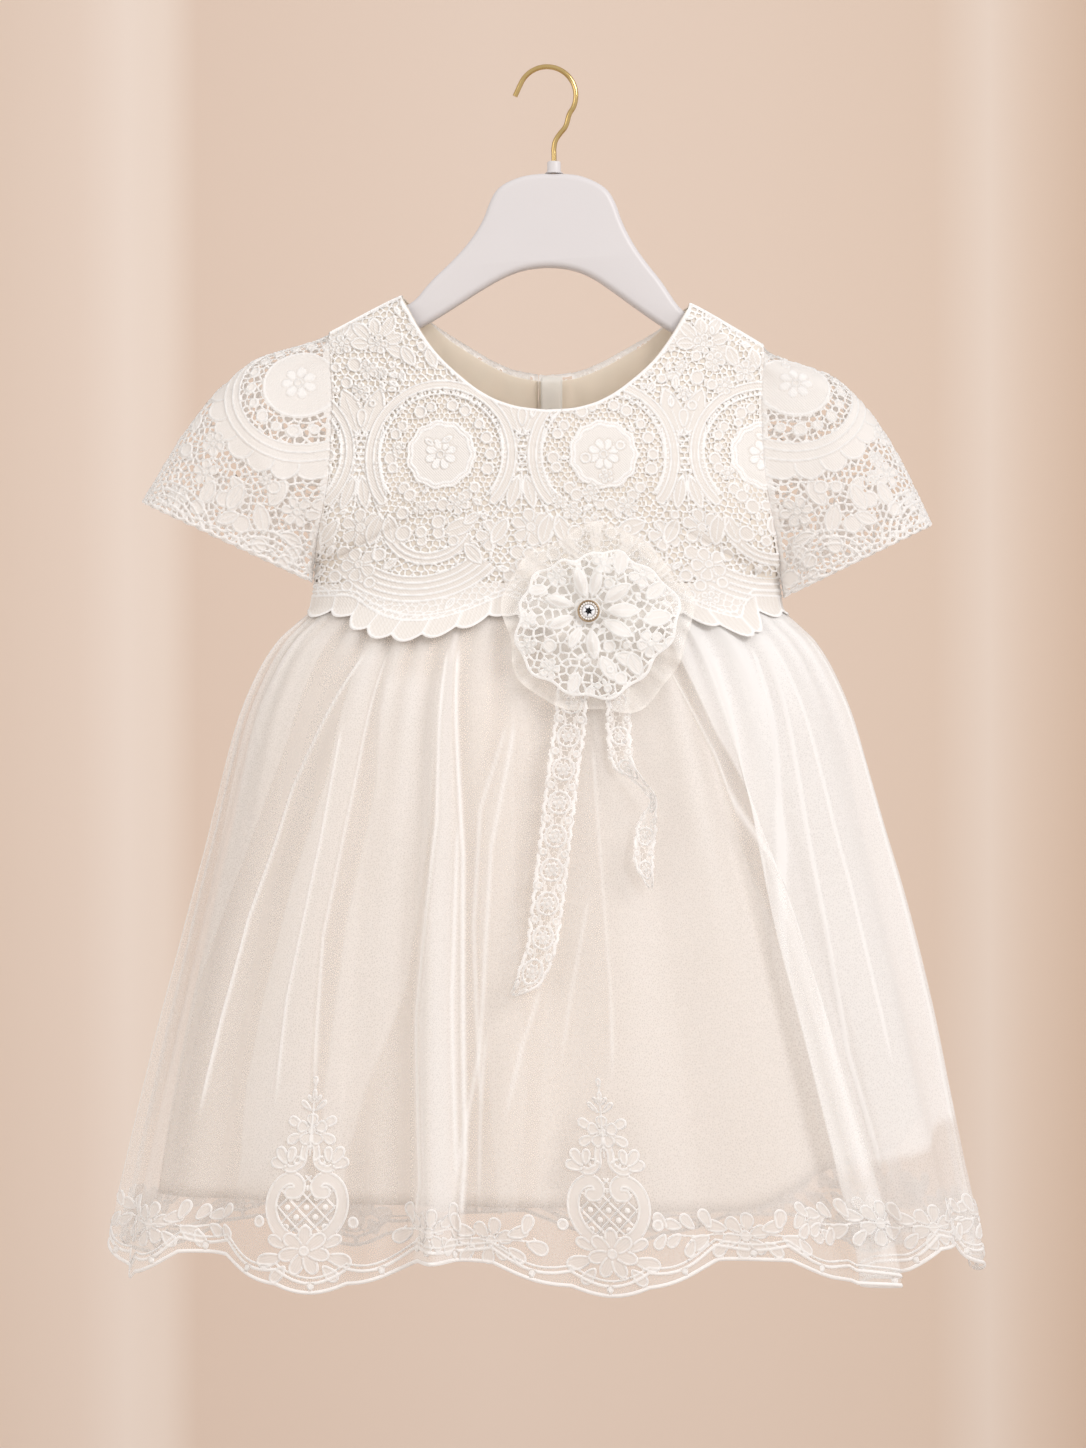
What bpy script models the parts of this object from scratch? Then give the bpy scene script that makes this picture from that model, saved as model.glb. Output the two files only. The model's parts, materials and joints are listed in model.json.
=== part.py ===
"""Christening dress on a moulded hanger.

A guipure lace bodice over a satin lining, short flared lace sleeves, a gathered
satin underskirt, a gathered tulle overskirt with a scalloped hem, a flower with
two lace tails at the waist, and the hanger that it hangs on.

Metres, +Z up. The origin is the inside top of the hanger's hook. The front of the
dress faces -Y. Sizes below are in millimetres and are scaled once, when a mesh
is made. FRONT and BACK are the signs of the Y side, LEFT and RIGHT those of X.
"""
import math
from collections import namedtuple

import bmesh
import bpy

MM = 0.001
FRONT, BACK = -1, 1
LEFT, RIGHT = -1, 1

# ---- driving sizes, in millimetres -------------------------------------------------
SEAM = 0.4              # clear width between two panels at a seam
WAIST_SEAM = 0.7        # and between the bodice and the flared skirt under it
LAYER_GAP = 0.3         # clear depth between two layers of cloth
SATIN_WALL = 1.2
TULLE_WALL = 1.0
LACE_WALL = 1.4
RIBBON_WALL = 1.0

WAIST = -283.0          # height of the waist seam
SHOULDER_ARCH = 9.0     # half depth of the cloth where it bends over the hanger
LEAN = 0.0296           # the dress hangs a little lower on its right
ARCH_TO_CHEST = 110.0   # drop from the shoulder over which the chest fills out
ARMHOLE_HALF_DEPTH = 24.0
BACK_OPENING = -4.5     # x of the slit down the back bodice

HEM_DROP = 339.0        # overskirt, waist seam to mean hem
HEM_MOTIFS = 9          # deep scallops round the hem
HEM_MOTIF_AT = 1.09     # one deep scallop lies here
DEEP_SCALLOP = 8.5
SMALL_SCALLOP = 2.0
SMALL_PER_MOTIF = 4

GATHERS_PER_SIDE = 22   # small gathers along each half of the waist seam
GATHER_TOP = 0.5        # their height at the seam
GATHER_FULL = 2.0       # and below it, where they are fullest
GATHER_FULL_AT = 12.0
GATHER_END = 230.0

# Horizontal section of the form that the cloth hangs on: height, half width, half
# depth, and the power of its rounded outline.
Ring = namedtuple("Ring", "height half_width half_depth corner")
FORM = [
    Ring(-630, 221.5, 94.5, 2.2), Ring(-617, 220.5, 94, 2.2), Ring(-570, 212, 89, 2.2),
    Ring(-529, 203.5, 84, 2.25), Ring(-501, 197.5, 80, 2.3), Ring(-467, 189.5, 75, 2.35),
    Ring(-429, 180.5, 69, 2.4), Ring(-401, 173.5, 65, 2.5), Ring(-373, 167, 60, 2.6),
    Ring(-342, 159, 54, 2.7), Ring(-318, 149, 47.5, 2.8), Ring(-301, 138.5, 42, 2.9),
    Ring(-292, 129.5, 38, 3.0), Ring(-283, 122.5, 34, 3.0), Ring(-262, 121, 33, 3.0),
    Ring(-246, 118.5, 32.5, 3.0), Ring(-231, 115.5, 32, 3.0), Ring(-214, 112.7, 31, 3.0),
    Ring(-197, 111.5, 30, 3.0), Ring(-180, 111.2, 29, 3.0), Ring(-155, 112.5, 27, 3.0),
    Ring(-139, 113.5, 26, 3.0), Ring(-100, 114, 25, 3.0),
]

# How far the underskirt lies inside the form: drop below the waist, side, front.
Inset = namedtuple("Inset", "drop side front")
UNDERSKIRT = [
    Inset(0, 0, 0), Inset(9, 1.6, 1), Inset(18, 3, 2), Inset(35, 4.5, 3), Inset(59, 6, 4),
    Inset(118, 8, 6), Inset(184, 9, 8), Inset(246, 10.5, 10), Inset(345, 16, 13),
]
# Lower edge of the underskirt round the body: it is hitched up at the right side.
Level = namedtuple("Level", "around height")
UNDER_HEM = [
    Level(0.0, -591), Level(0.5, -588), Level(1.0, -589), Level(1.3, -592),
    Level(1.55, -570), Level(1.8, -556), Level(2.0, -550), Level(2.4, -566),
    Level(3.0, -588), Level(3.5, -592), Level(4.0, -591),
]

# Long folds of the skirt. "cloth" is a fold's place round the hem and "waist" its
# place at the seam: 0 left side, 1 centre front, 2 right side, 3 centre back.
# "width" is half its breadth in the same measure, and the lifts are its height.
Fold = namedtuple("Fold", "cloth waist width lift_waist lift_hem")
FOLDS = [
    Fold(0.05, 0.09, 0.10, 1.0, 9.0), Fold(0.29, 0.30, 0.17, 2.2, 12.0),
    Fold(0.58, 0.52, 0.16, 1.6, 12.5), Fold(0.735, 0.66, 0.05, 1.5, 5.0),
    Fold(0.838, 0.755, 0.036, 2.8, 18.0), Fold(0.965, 0.90, 0.09, 1.4, 8.5),
    Fold(1.14, 1.09, 0.12, 2.0, 10.5), Fold(1.375, 1.25, 0.13, 1.6, 12.0),
    Fold(1.72, 1.64, 0.11, 2.2, 9.0), Fold(1.93, 1.88, 0.09, 1.0, 8.0),
    Fold(2.12, 2.12, 0.10, 1.4, 9.0), Fold(2.33, 2.31, 0.10, 2.0, 11.0),
    Fold(2.55, 2.56, 0.12, 1.5, 12.0), Fold(2.79, 2.80, 0.10, 2.4, 10.0),
    Fold(3.00, 3.00, 0.11, 1.5, 13.0), Fold(3.23, 3.20, 0.10, 2.4, 10.0),
    Fold(3.46, 3.45, 0.12, 1.6, 12.0), Fold(3.70, 3.70, 0.11, 2.0, 10.0),
    Fold(3.89, 3.90, 0.08, 1.2, 8.0),
]
LIFT_RAMP = 30.0        # drop over which a fold reaches its waist height
UNDER_FOLD_SHARE = 0.35 # the underskirt's folds against the overskirt's

# The overlapping pleat: the cloth doubles back on itself and shows an edge.
LAP_AT = 1.545
LAP_WAIST = 1.36
LAP_HALF = 0.055        # half of the stretch of cloth it takes
LAP_STEP = 5.5          # half of its depth at the hem
LAP_OVER = 17.0         # how far the cloth swings past the middle at the hem

# Necklines: distance from the centre, height.
Neck = namedtuple("Neck", "across height")
FRONT_NECK = [
    Neck(0, -181.6), Neck(13, -180.4), Neck(24, -177.5), Neck(34, -172.5), Neck(45, -164),
    Neck(56.5, -152.5), Neck(64, -141.5), Neck(70.5, -130), Neck(74, -123), Neck(75.2, -116),
]
BACK_NECK = [
    Neck(0, -159.5), Neck(15, -157.5), Neck(24, -154.5), Neck(34, -149.5), Neck(45, -143),
    Neck(55, -137), Neck(64, -130.5), Neck(70.5, -125.5), Neck(74, -122), Neck(75.2, -116),
]
NECK_MIDDLE = -0.8      # x of the lowest place of the necklines
NECK_EDGE = 75.0        # distance from the centre to the neck end of the shoulder
SHOULDER_HALF = 112.5   # and, about, to its sleeve end
NECK_COLUMNS = (0, 17, 33, 47, 58, 66, 71, 73.7, NECK_EDGE)   # closer where it is steep

# How far the bodice lace stands off the lining; over the waist it clears the gathers.
LACE_OFF = 1.2
Stand = namedtuple("Stand", "height off")
LACE_STAND = [
    Stand(-330, 11.0), Stand(-305, 9.0), Stand(-291, 6.6), Stand(-283, 4.5),
    Stand(-276, 2.4), Stand(-266, LACE_OFF), Stand(-100, LACE_OFF),
]
LACE_HEM = -286.5       # height of its edge between the deep scallops
LACE_HEM_HALF = 125.0   # half width of the lace at its edge
LACE_DEEP = 13.5
LACE_PITCH = 85.0
LACE_DEEP_AT = -64.0
LACE_PLAIN = 108.0      # beyond this distance from the centre the edge runs level
LACE_SMALL = 3.0        # small scallops, on every second column of the panel

# Sleeve: where the top line leaves the shoulder and where it ends, in the front
# view, then the underarm and the inner end of the cuff, and the bulge of its top.
Sleeve = namedtuple("Sleeve", "side tip_x tip_z underarm cuff_x cuff_z")
SLEEVES = [
    Sleeve(LEFT, -214.0, -228.5, -260.0, -126.5, -271.5),
    Sleeve(RIGHT, 203.5, -240.5, -268.0, 127.5, -279.5),
]
SLEEVE_START = 113.5    # half width of the body at the top of the armhole
SLEEVE_UNDERARM = 121.6 # and at the underarm
SLEEVE_BULGE = 17.0
SLEEVE_PUFF = 31.0      # half depth at the middle
SLEEVE_CUFF = 27.0      # half depth at the cuff
SLEEVE_COLUMNS = 12
SLEEVE_SEAM_TURN = 0.7  # degrees that a half keeps clear of the seam with the other
HEAD_GATHERS = 6        # small gathers in each half of the sleeve head
HEAD_GATHER_RISE = 1.0
GAP_HALF = 2.6          # half of a cut gap in the lace

# Flower: middle of the tulle ruffle and of the button, and the lace flower's reach.
RUFFLE_X, RUFFLE_Z, RUFFLE_REACH = 25.6, -291.5, 50.0
RUFFLE_WAVES, RUFFLE_WAVE = 13, 2.6
BUTTON_X, BUTTON_Z = 21.3, -287.0
BUTTON_RADIUS = 5.75
Reach = namedtuple("Reach", "turn reach")     # degrees clockwise from the top
FLOWER = [
    Reach(0, 29), Reach(45, 37), Reach(90, 46), Reach(135, 44), Reach(180, 45),
    Reach(225, 42), Reach(270, 37), Reach(315, 31), Reach(360, 29),
]
FLOWER_FOLDS, FLOWER_FOLD = 9, 2.6
FLOWER_DOME = 4.5       # how far its petals arch forward
RUFFLE_RISE = 4.8       # how far the tulle ruffle stands off what is behind it
EYE_RADIUS, SEAT_RADIUS = 2.5, 6.5   # hole in the middle, and the flat round it

# Lace tails from the lower end up: height and x of the middle line, width, and how
# many degrees the ribbon is turned about it.
Tail = namedtuple("Tail", "z x width turn")
LONG_TAIL = [
    Tail(-489, -17.5, 3, 0), Tail(-478, -8.0, 15, 4), Tail(-458, -3.0, 17, 12),
    Tail(-436, 0.2, 18, -6), Tail(-403, 4.2, 18, 10), Tail(-366, 8.6, 18, -8),
    Tail(-345, 11.6, 18, 2), Tail(-326, 13.0, 17, 0),
]
SHORT_TAIL = [
    Tail(-431, 52.5, 3, 0), Tail(-412, 49.0, 12, -12), Tail(-396, 50.8, 12, 25),
    Tail(-384, 54.0, 9, 66), Tail(-374, 47.0, 10, 62), Tail(-362, 37.5, 14, 18),
    Tail(-345, 36.5, 14, -4), Tail(-326, 36.0, 13, 0),
]
TAIL_TUCK = 3.0         # the upper end is brought forward to the back of the ruffle

# Hanger: outline rows from the top down, with the left and the right edge.
Edge = namedtuple("Edge", "height left right")
HANGER_OUTSIDE = [
    Edge(-55.2, -7, 13.5), Edge(-58, -18, 23), Edge(-63, -26.5, 31.8),
    Edge(-71, -30.6, 36.4), Edge(-80, -33.6, 39.2), Edge(-92, -41.3, 45.2),
    Edge(-103, -51.6, 53.0), Edge(-112, -61.5, 60.5),
]
HANGER_ARCH = [
    Edge(-104.3, 1, 1), Edge(-105.6, -11.5, 13), Edge(-109.6, -22.5, 23.5),
    Edge(-116.5, -34.5, 33.5), Edge(-126, -49, 46.5), Edge(-136.5, -66, 61.5),
]
ARM_TOPS = (71, 80, 88, 95)          # distances from the centre along an arm's top
# Round end and underside of an arm: distance from the centre, depth below its top.
Under = namedtuple("Under", "across depth")
ARM_END = [Under(101.5, 1.5), Under(104.0, 6.5), Under(99.0, 13.0), Under(90, 15.6), Under(79, 17.2)]
HANGER_HALF = 5.0       # half thickness of the moulding
HANGER_ROUND = 4.0      # radius of its edges
NECK_DIP = 2.6          # the arm dips this much where it passes under the neck's end
SEAT = 1.1              # top of the arm to the inside of the shoulder, upright
COLLAR_X, COLLAR_RADIUS, COLLAR_TOP = 3.7, 3.6, -48.6
WIRE = 1.35             # radius of the hook's wire
HOOK_RADIUS = 15.2      # its round part, to the wire's middle
HOOK_TIP_TURN, HOOK_STEM_TURN = 158, -38   # degrees, ends of the round part

# ---- colours: red, green, blue, roughness, metallic --------------------------------
Finish = namedtuple("Finish", "red green blue rough metal")
SATIN = Finish(0.86, 0.78, 0.68, 0.45, 0)
SATIN_WHITE = Finish(0.90, 0.85, 0.79, 0.5, 0)
LACE = Finish(0.92, 0.88, 0.83, 0.8, 0)
TULLE = Finish(0.90, 0.86, 0.80, 0.7, 0)
PLASTIC = Finish(0.88, 0.87, 0.86, 0.35, 0)
GOLD = Finish(0.72, 0.50, 0.20, 0.25, 1)
CRYSTAL = Finish(0.75, 0.76, 0.78, 0.05, 0)
PEARL = Finish(0.90, 0.87, 0.82, 0.25, 0)


# ---- small helpers -----------------------------------------------------------------
def along(rows, at, field):
    """Smooth value of one column of a table, its first column being the key."""
    keys = [row[0] for row in rows]
    values = [getattr(row, field) for row in rows]
    if at <= keys[0]:
        return values[0]
    if at >= keys[-1]:
        return values[-1]
    i = next(k for k in range(1, len(keys)) if at <= keys[k])
    slopes = [(values[k + 1] - values[k]) / (keys[k + 1] - keys[k]) for k in range(len(keys) - 1)]

    def tangent(k):
        if k == 0 or k == len(keys) - 1:
            return slopes[min(k, len(slopes) - 1)]
        before, after = slopes[k - 1], slopes[k]
        return 0.0 if before * after <= 0 else 2 * before * after / (before + after)

    span = keys[i] - keys[i - 1]
    t = (at - keys[i - 1]) / span
    blend = t * t * (3 - 2 * t)
    return (values[i - 1] * (1 - blend) + values[i] * blend
            + span * t * (1 - t) * ((1 - t) * tangent(i - 1) - t * tangent(i)))


def ease(value):
    """Smooth step from 0 to 1."""
    value = min(1.0, max(0.0, value))
    return value * value * (3 - 2 * value)


def bump(value):
    """Rounded ridge, 1 at the middle and 0 from -1 and 1 outwards."""
    return 0.5 * (1 + math.cos(math.pi * value)) if abs(value) < 1 else 0.0


def half_outline(across, corner):
    """Depth of a rounded section at a share of its half width."""
    return math.sqrt(max(0.0, 1 - abs(across) ** corner))


def finish(name, look):
    material = bpy.data.materials.new(name)
    material.use_nodes = True
    shader = material.node_tree.nodes["Principled BSDF"]
    shader.inputs["Base Color"].default_value = (look.red, look.green, look.blue, 1)
    shader.inputs["Roughness"].default_value = look.rough
    shader.inputs["Metallic"].default_value = look.metal
    return material


def add_object(name, mesh, look, smooth=True):
    obj = bpy.data.objects.new(name, mesh)
    mesh.materials.append(finish(name + "_finish", look))
    PART.objects.link(obj)
    if smooth:
        mesh.shade_smooth()
    return obj


def sheet(name, columns, rows, place, thickness, look, closed=False):
    """Open surface from place(column, row), given a wall by Solidify."""
    work = bmesh.new()
    count = len(columns)
    grid = bmesh.ops.create_grid(work, x_segments=count - 1, y_segments=len(rows) - 1, size=1)
    for index, vertex in enumerate(grid["verts"]):
        x, y, z = place(columns[index % count], rows[index // count])
        vertex.co = (x * MM, y * MM, z * MM)
    if closed:
        bmesh.ops.remove_doubles(work, verts=work.verts[:], dist=0.00001)
    mesh = bpy.data.meshes.new(name)
    work.to_mesh(mesh)
    work.free()
    obj = add_object(name, mesh, look)
    wall = obj.modifiers.new("wall", "SOLIDIFY")
    wall.thickness = thickness * MM
    wall.offset = 0
    return obj


def square_up(face):
    """Makes a four-sided face into a square gap about its own middle."""
    corners = list(face.verts)
    middle = face.calc_center_median()
    across = ((corners[1].co + corners[2].co) - (corners[0].co + corners[3].co)).normalized()
    up = ((corners[2].co + corners[3].co) - (corners[0].co + corners[1].co)).normalized()
    for corner, (right, top) in zip(corners, ((-1, -1), (1, -1), (1, 1), (-1, 1))):
        corner.co = middle + (across * right + up * top) * GAP_HALF * MM


def layer(name, columns, rows, place, inner, outer, look, gaps=()):
    """Closed wall between place(column, row, inner) and place(column, row, outer).

    gaps lists the cells, as (column, row), that are cut right through.
    """
    work = bmesh.new()
    count = len(columns)
    skins = []
    for out in (inner, outer):
        grid = bmesh.ops.create_grid(work, x_segments=count - 1, y_segments=len(rows) - 1, size=1)
        cells = {}
        for face in {face for vertex in grid["verts"] for face in vertex.link_faces}:
            centre = face.calc_center_median()
            column = int((centre.x + 1) / 2 * (count - 1))
            row = int((centre.y + 1) / 2 * (len(rows) - 1))
            cells[column, row] = face
        for index, vertex in enumerate(grid["verts"]):
            x, y, z = place(columns[index % count], rows[index // count], out)
            vertex.co = (x * MM, y * MM, z * MM)
        rim = [edge for edge in {e for v in grid["verts"] for e in v.link_edges} if edge.is_boundary]
        skins.append((cells, rim))
    bmesh.ops.bridge_loops(work, edges=skins[0][1] + skins[1][1])
    for cell in gaps:
        loops = []
        for cells, _ in skins:
            face = cells[cell]
            side = min(edge.calc_length() for edge in face.edges)
            bmesh.ops.inset_individual(work, faces=[face], thickness=side / 4)
            square_up(face)
            loops += list(face.edges)
            bmesh.ops.delete(work, geom=[face], context="FACES_ONLY")
        bmesh.ops.bridge_loops(work, edges=loops)
    bmesh.ops.recalc_face_normals(work, faces=work.faces[:])
    mesh = bpy.data.meshes.new(name)
    work.to_mesh(mesh)
    work.free()
    return add_object(name, mesh, look)


def steps(first, last, count):
    return [first + (last - first) * i / count for i in range(count + 1)]


# ---- bodice ------------------------------------------------------------------------
def shoulder_ridge(x):
    """Height of the line that the shoulders follow, carried on to the centre."""
    far = abs(x)
    past_neck = 4 * math.log1p(math.exp((far - NECK_EDGE) / 4))
    return -99.7 - 0.30 * far - 0.268 * past_neck - LEAN * x


def bodice_top(side, x, out):
    neck = FRONT_NECK if side == FRONT else BACK_NECK
    edge = along(neck, abs(x - NECK_MIDDLE), "height") - LEAN * x
    return min(edge, shoulder_ridge(x) + out)


def chest_depth(x, z, out):
    """Half depth of the body without its rounding to the sides."""
    arch = SHOULDER_ARCH + out
    drop = max(0.0, shoulder_ridge(x) + out - z)
    near = arch * math.sqrt(1 - (1 - min(drop / arch, 1)) ** 2)
    far = along(FORM, z, "half_depth") - SHOULDER_ARCH
    return near + far * ease(drop / ARCH_TO_CHEST)


def armhole_depth(x, z, deepest):
    """Half of the armhole's opening at a height, 0 below the underarm."""
    sleeve = SLEEVES[0] if x < 0 else SLEEVES[1]
    tip = math.copysign(SHOULDER_HALF, x)
    top = shoulder_ridge(max(-SHOULDER_HALF, min(SHOULDER_HALF, x)))
    share = (top - z) / (shoulder_ridge(tip) - sleeve.underarm)
    if share <= 0 or share >= 1:
        return 0.0
    return min(ARMHOLE_HALF_DEPTH * 2 * math.sqrt(share * (1 - share)), 0.9 * deepest)


def bodice_at_height(side, across, z, out):
    """Point of the bodice form, moved out by out, at a share across and a height."""
    x = across * (along(FORM, z, "half_width") + out)
    deep = chest_depth(x, z, out)
    edge = armhole_depth(x, z, deep)
    depth = edge + (deep - edge) * half_outline(across, along(FORM, z, "corner"))
    return x, side * max(depth, SEAM / 2), z


def bodice_point(side, across, share, out, lower=WAIST):
    """Point at a share of the height from the lower edge to the neck or shoulder."""
    x = across * SHOULDER_HALF
    top = bodice_top(side, x, out)
    return bodice_at_height(side, across, lower + share * (top - lower), out)


def bodice_columns(first, last):
    """Shares across, closer at the sides, with one at each neck end of the shoulder."""
    neck = NECK_EDGE / SHOULDER_HALF
    inner = [x / SHOULDER_HALF for x in NECK_COLUMNS]
    outer = [neck + (1 - neck) * math.sin(angle) for angle in steps(0, math.pi / 2, 5)]
    right = inner + outer[1:]
    columns = [-share for share in reversed(right[1:])] + right
    kept = [column for column in columns if first < column < last]
    return [first] + [c for c in kept if min(c - first, last - c) > 0.03] + [last]


BODICE_ROWS = [0, 0.08, 0.17, 0.36, 0.55, 0.72, 0.85, 0.93, 0.975, 0.993, 1]
BACK_HALVES = [("left", -1.0, (BACK_OPENING - SEAM / 2) / SHOULDER_HALF),
               ("right", (BACK_OPENING + SEAM / 2) / SHOULDER_HALF, 1.0)]


def build_lining():
    def placer(side):
        return lambda across, share, out: bodice_point(side, across, share, out)
    columns = bodice_columns(-1, 1)
    layer("bodice_lining_front", columns, BODICE_ROWS, placer(FRONT), -SATIN_WALL, 0, SATIN)
    for name, first, last in BACK_HALVES:
        columns = bodice_columns(first, last)
        layer("bodice_lining_back_" + name, columns, BODICE_ROWS, placer(BACK),
              -SATIN_WALL, 0, SATIN)


def lace_hem(x, point_of_scallop):
    """Height of the lace bodice's scalloped edge."""
    deep = abs(math.cos(math.pi * (x - LACE_DEEP_AT) / LACE_PITCH)) if abs(x) < LACE_PLAIN else 0
    return LACE_HEM - LACE_DEEP * deep ** 1.2 - LACE_SMALL * point_of_scallop


def lace_placer(side, columns):
    scallop_points = {column: index % 2 for index, column in enumerate(columns)}

    def place(across, share, out):
        hem = lace_hem(across * LACE_HEM_HALF, scallop_points[across])
        top = bodice_top(side, across * SHOULDER_HALF, out + LACE_OFF)
        z = WAIST + share * (top - WAIST if share > 0 else WAIST - hem)
        stand = along(LACE_STAND, z, "off")
        return bodice_at_height(side, across, z, out + stand)
    return place


LACE_ROWS = [-1, -0.5] + BODICE_ROWS


def build_lace():
    columns = bodice_columns(-1, 1)
    last = len(columns) - 4
    gaps = [(c, r) for r, first in ((4, 5), (5, 7), (6, 5)) for c in range(first, last, 2)]
    layer("bodice_lace_front", columns, LACE_ROWS, lace_placer(FRONT, columns),
          0, LACE_WALL, LACE, gaps)
    for name, first, last in BACK_HALVES:
        columns = bodice_columns(first, last)
        gaps = [(c, r) for r in (4, 5) for c in range(4, len(columns) - 4, 2)]
        layer("bodice_lace_back_" + name, columns, LACE_ROWS, lace_placer(BACK, columns),
              0, LACE_WALL, LACE, gaps)


PLACKET_LEFT, PLACKET_RIGHT = -3.4, 8.4
PLACKET_WALL = 1.0
BACK_BUTTON_X = 0.6
# Height of each back button, and how far it stands off the curve of the lace.
BackButton = namedtuple("BackButton", "height clear")
BACK_BUTTONS = [BackButton(-170, 0.8), BackButton(-207, -0.05), BackButton(-244, 0.3)]
BACK_BUTTON_RADIUS = 4.0
BACK_BUTTON_DEPTH = 3.0


def build_back_closure():
    """The satin strip behind the slit, and the buttons on it."""
    def place(across, share, out):
        low, top = WAIST + 1, bodice_top(BACK, 0, 0) - 1.5
        return bodice_at_height(BACK, across, low + share * (top - low), out)
    columns = [x / SHOULDER_HALF for x in steps(PLACKET_LEFT, PLACKET_RIGHT, 3)]
    inside = -SATIN_WALL - 3 * LAYER_GAP
    layer("back_placket", columns, steps(0, 1, 9), place, inside - PLACKET_WALL, inside, SATIN_WHITE)
    for number, (height, clear) in enumerate(BACK_BUTTONS, 1):
        surface = bodice_at_height(BACK, 0.02, height, LACE_OFF + LACE_WALL)[1]
        name = f"back_button_{number}"
        work = bmesh.new()
        bmesh.ops.create_uvsphere(work, u_segments=10, v_segments=5, radius=BACK_BUTTON_RADIUS * MM)
        bmesh.ops.scale(work, vec=(1, 1, BACK_BUTTON_DEPTH / 2 / BACK_BUTTON_RADIUS), verts=work.verts[:])
        mesh = bpy.data.meshes.new(name)
        work.to_mesh(mesh)
        work.free()
        button = add_object(name, mesh, PEARL)
        button.rotation_euler.x = math.radians(90)
        depth = surface + clear + BACK_BUTTON_DEPTH / 2
        button.location = (BACK_BUTTON_X * MM, depth * MM, height * MM)


# ---- sleeves -----------------------------------------------------------------------
def sleeve_point(sleeve, turn, share, out):
    """turn runs from 0 at the top over the front to 180 at the underarm, in degrees,
    and on over the back to 360; share runs from the armhole to the cuff."""
    angle = math.radians(turn)
    side = sleeve.side
    top_z = shoulder_ridge(SLEEVE_START * side) + LACE_OFF + LACE_WALL
    clear = LACE_OFF + LACE_WALL + 2 * LAYER_GAP
    start_x = SLEEVE_START + clear
    # top line: a bowed line from the shoulder to the tip
    run_x, run_z = abs(sleeve.tip_x) - start_x, sleeve.tip_z - top_z
    length = math.hypot(run_x, run_z)
    bow = SLEEVE_BULGE * math.sin(math.pi * share ** 0.8)
    upper_x = start_x + share * run_x - bow * run_z / length
    upper_z = top_z + share * run_z + bow * run_x / length
    under_x = SLEEVE_UNDERARM + clear
    lower_x = under_x + share * (abs(sleeve.cuff_x) - under_x)
    lower_z = sleeve.underarm + share * (sleeve.cuff_z - sleeve.underarm)
    middle_x, middle_z = (upper_x + lower_x) / 2, (upper_z + lower_z) / 2
    half_x, half_z = (upper_x - lower_x) / 2, (upper_z - lower_z) / 2
    half = math.hypot(half_x, half_z)
    grow = 1 - (LACE_WALL - out) / half
    x = middle_x + half_x * grow * math.cos(angle)
    z = middle_z + half_z * grow * math.cos(angle)
    # the first rings follow the armhole, the others are full
    deep = chest_depth(side * SLEEVE_START, z, 0)
    hole = max(armhole_depth(side * SLEEVE_START, z, deep), 2.0 * abs(math.sin(angle)))
    full = SLEEVE_PUFF + (SLEEVE_CUFF - SLEEVE_PUFF) * share
    away = ease(share / 0.45)
    round_depth = full * abs(math.sin(angle)) ** 0.85
    depth = (hole + LAYER_GAP) * (1 - away) + round_depth * away
    along_armhole = along(FORM, z, "half_width") + clear
    x = along_armhole * (1 - ease(share / 0.3)) + x * ease(share / 0.3)
    wave = math.cos(turn / 90 * math.pi * HEAD_GATHERS) * bump(share / 0.4) * ease(share / 0.06)
    wave *= bump(min(turn, 360 - turn) / 110)
    depth += out + HEAD_GATHER_RISE * wave
    y = -depth if turn < 180 else depth
    return side * x, y, z


def build_sleeves():
    turns = steps(SLEEVE_SEAM_TURN, 180 - SLEEVE_SEAM_TURN, SLEEVE_COLUMNS)
    shares = [0, 0.08, 0.2, 0.36, 0.52, 0.68, 0.84, 1]
    gaps = [(c, r) for r, first in ((3, 4), (4, 3), (5, 4), (6, 3)) for c in range(first, 10, 2)]
    for sleeve in SLEEVES:
        side = "left" if sleeve.side == LEFT else "right"
        for half, offset in (("front", 0), ("back", 180)):
            columns = [offset + turn for turn in turns]
            layer(f"sleeve_{side}_{half}", columns, shares,
                  lambda turn, share, out, s=sleeve: sleeve_point(s, turn, share, out),
                  0, LACE_WALL, LACE, gaps)


# ---- skirts ------------------------------------------------------------------------
def ring_point(around, half_width, half_depth, corner):
    """Point of a rounded section at a place round the body, and its outward way."""
    def spot(at):
        angle = math.pi / 2 * (at - 1)
        across = math.sin(angle)
        side = FRONT if math.cos(angle) >= 0 else BACK
        return half_width * across, side * half_depth * half_outline(across, corner)

    x, y = spot(around)
    step = 0.01
    ahead, behind = spot(around + step), spot(around - step)
    run = (ahead[0] - behind[0], ahead[1] - behind[1])
    length = math.hypot(*run)
    return x, y, run[1] / length, -run[0] / length


def waist_place(cloth):
    """Place at the waist seam of the cloth that hangs at a place round the hem."""
    rows = [(0.0, 0.0)] + [(fold.cloth, fold.waist) for fold in FOLDS]
    rows = sorted(rows + [(LAP_AT, LAP_WAIST), (2.0, 2.0), (4.0, 4.0)])
    for (before, waist_before), (after, waist_after) in zip(rows, rows[1:]):
        if cloth <= after:
            share = (cloth - before) / (after - before)
            return waist_before + share * (waist_after - waist_before)
    return cloth


def fold_lift(cloth, drop):
    """How far the long folds lift the cloth off the form."""
    share = min(1.0, drop / HEM_DROP)
    ramp = ease(drop / LIFT_RAMP)
    lift = 0.0
    for fold in FOLDS:
        for lap_round in (-4, 0, 4):
            near = (cloth - fold.cloth - lap_round) / fold.width
            height = fold.lift_waist * ramp + (fold.lift_hem - fold.lift_waist) * share ** 1.15
            lift += max(0.0, height) * bump(near)
    return lift


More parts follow.
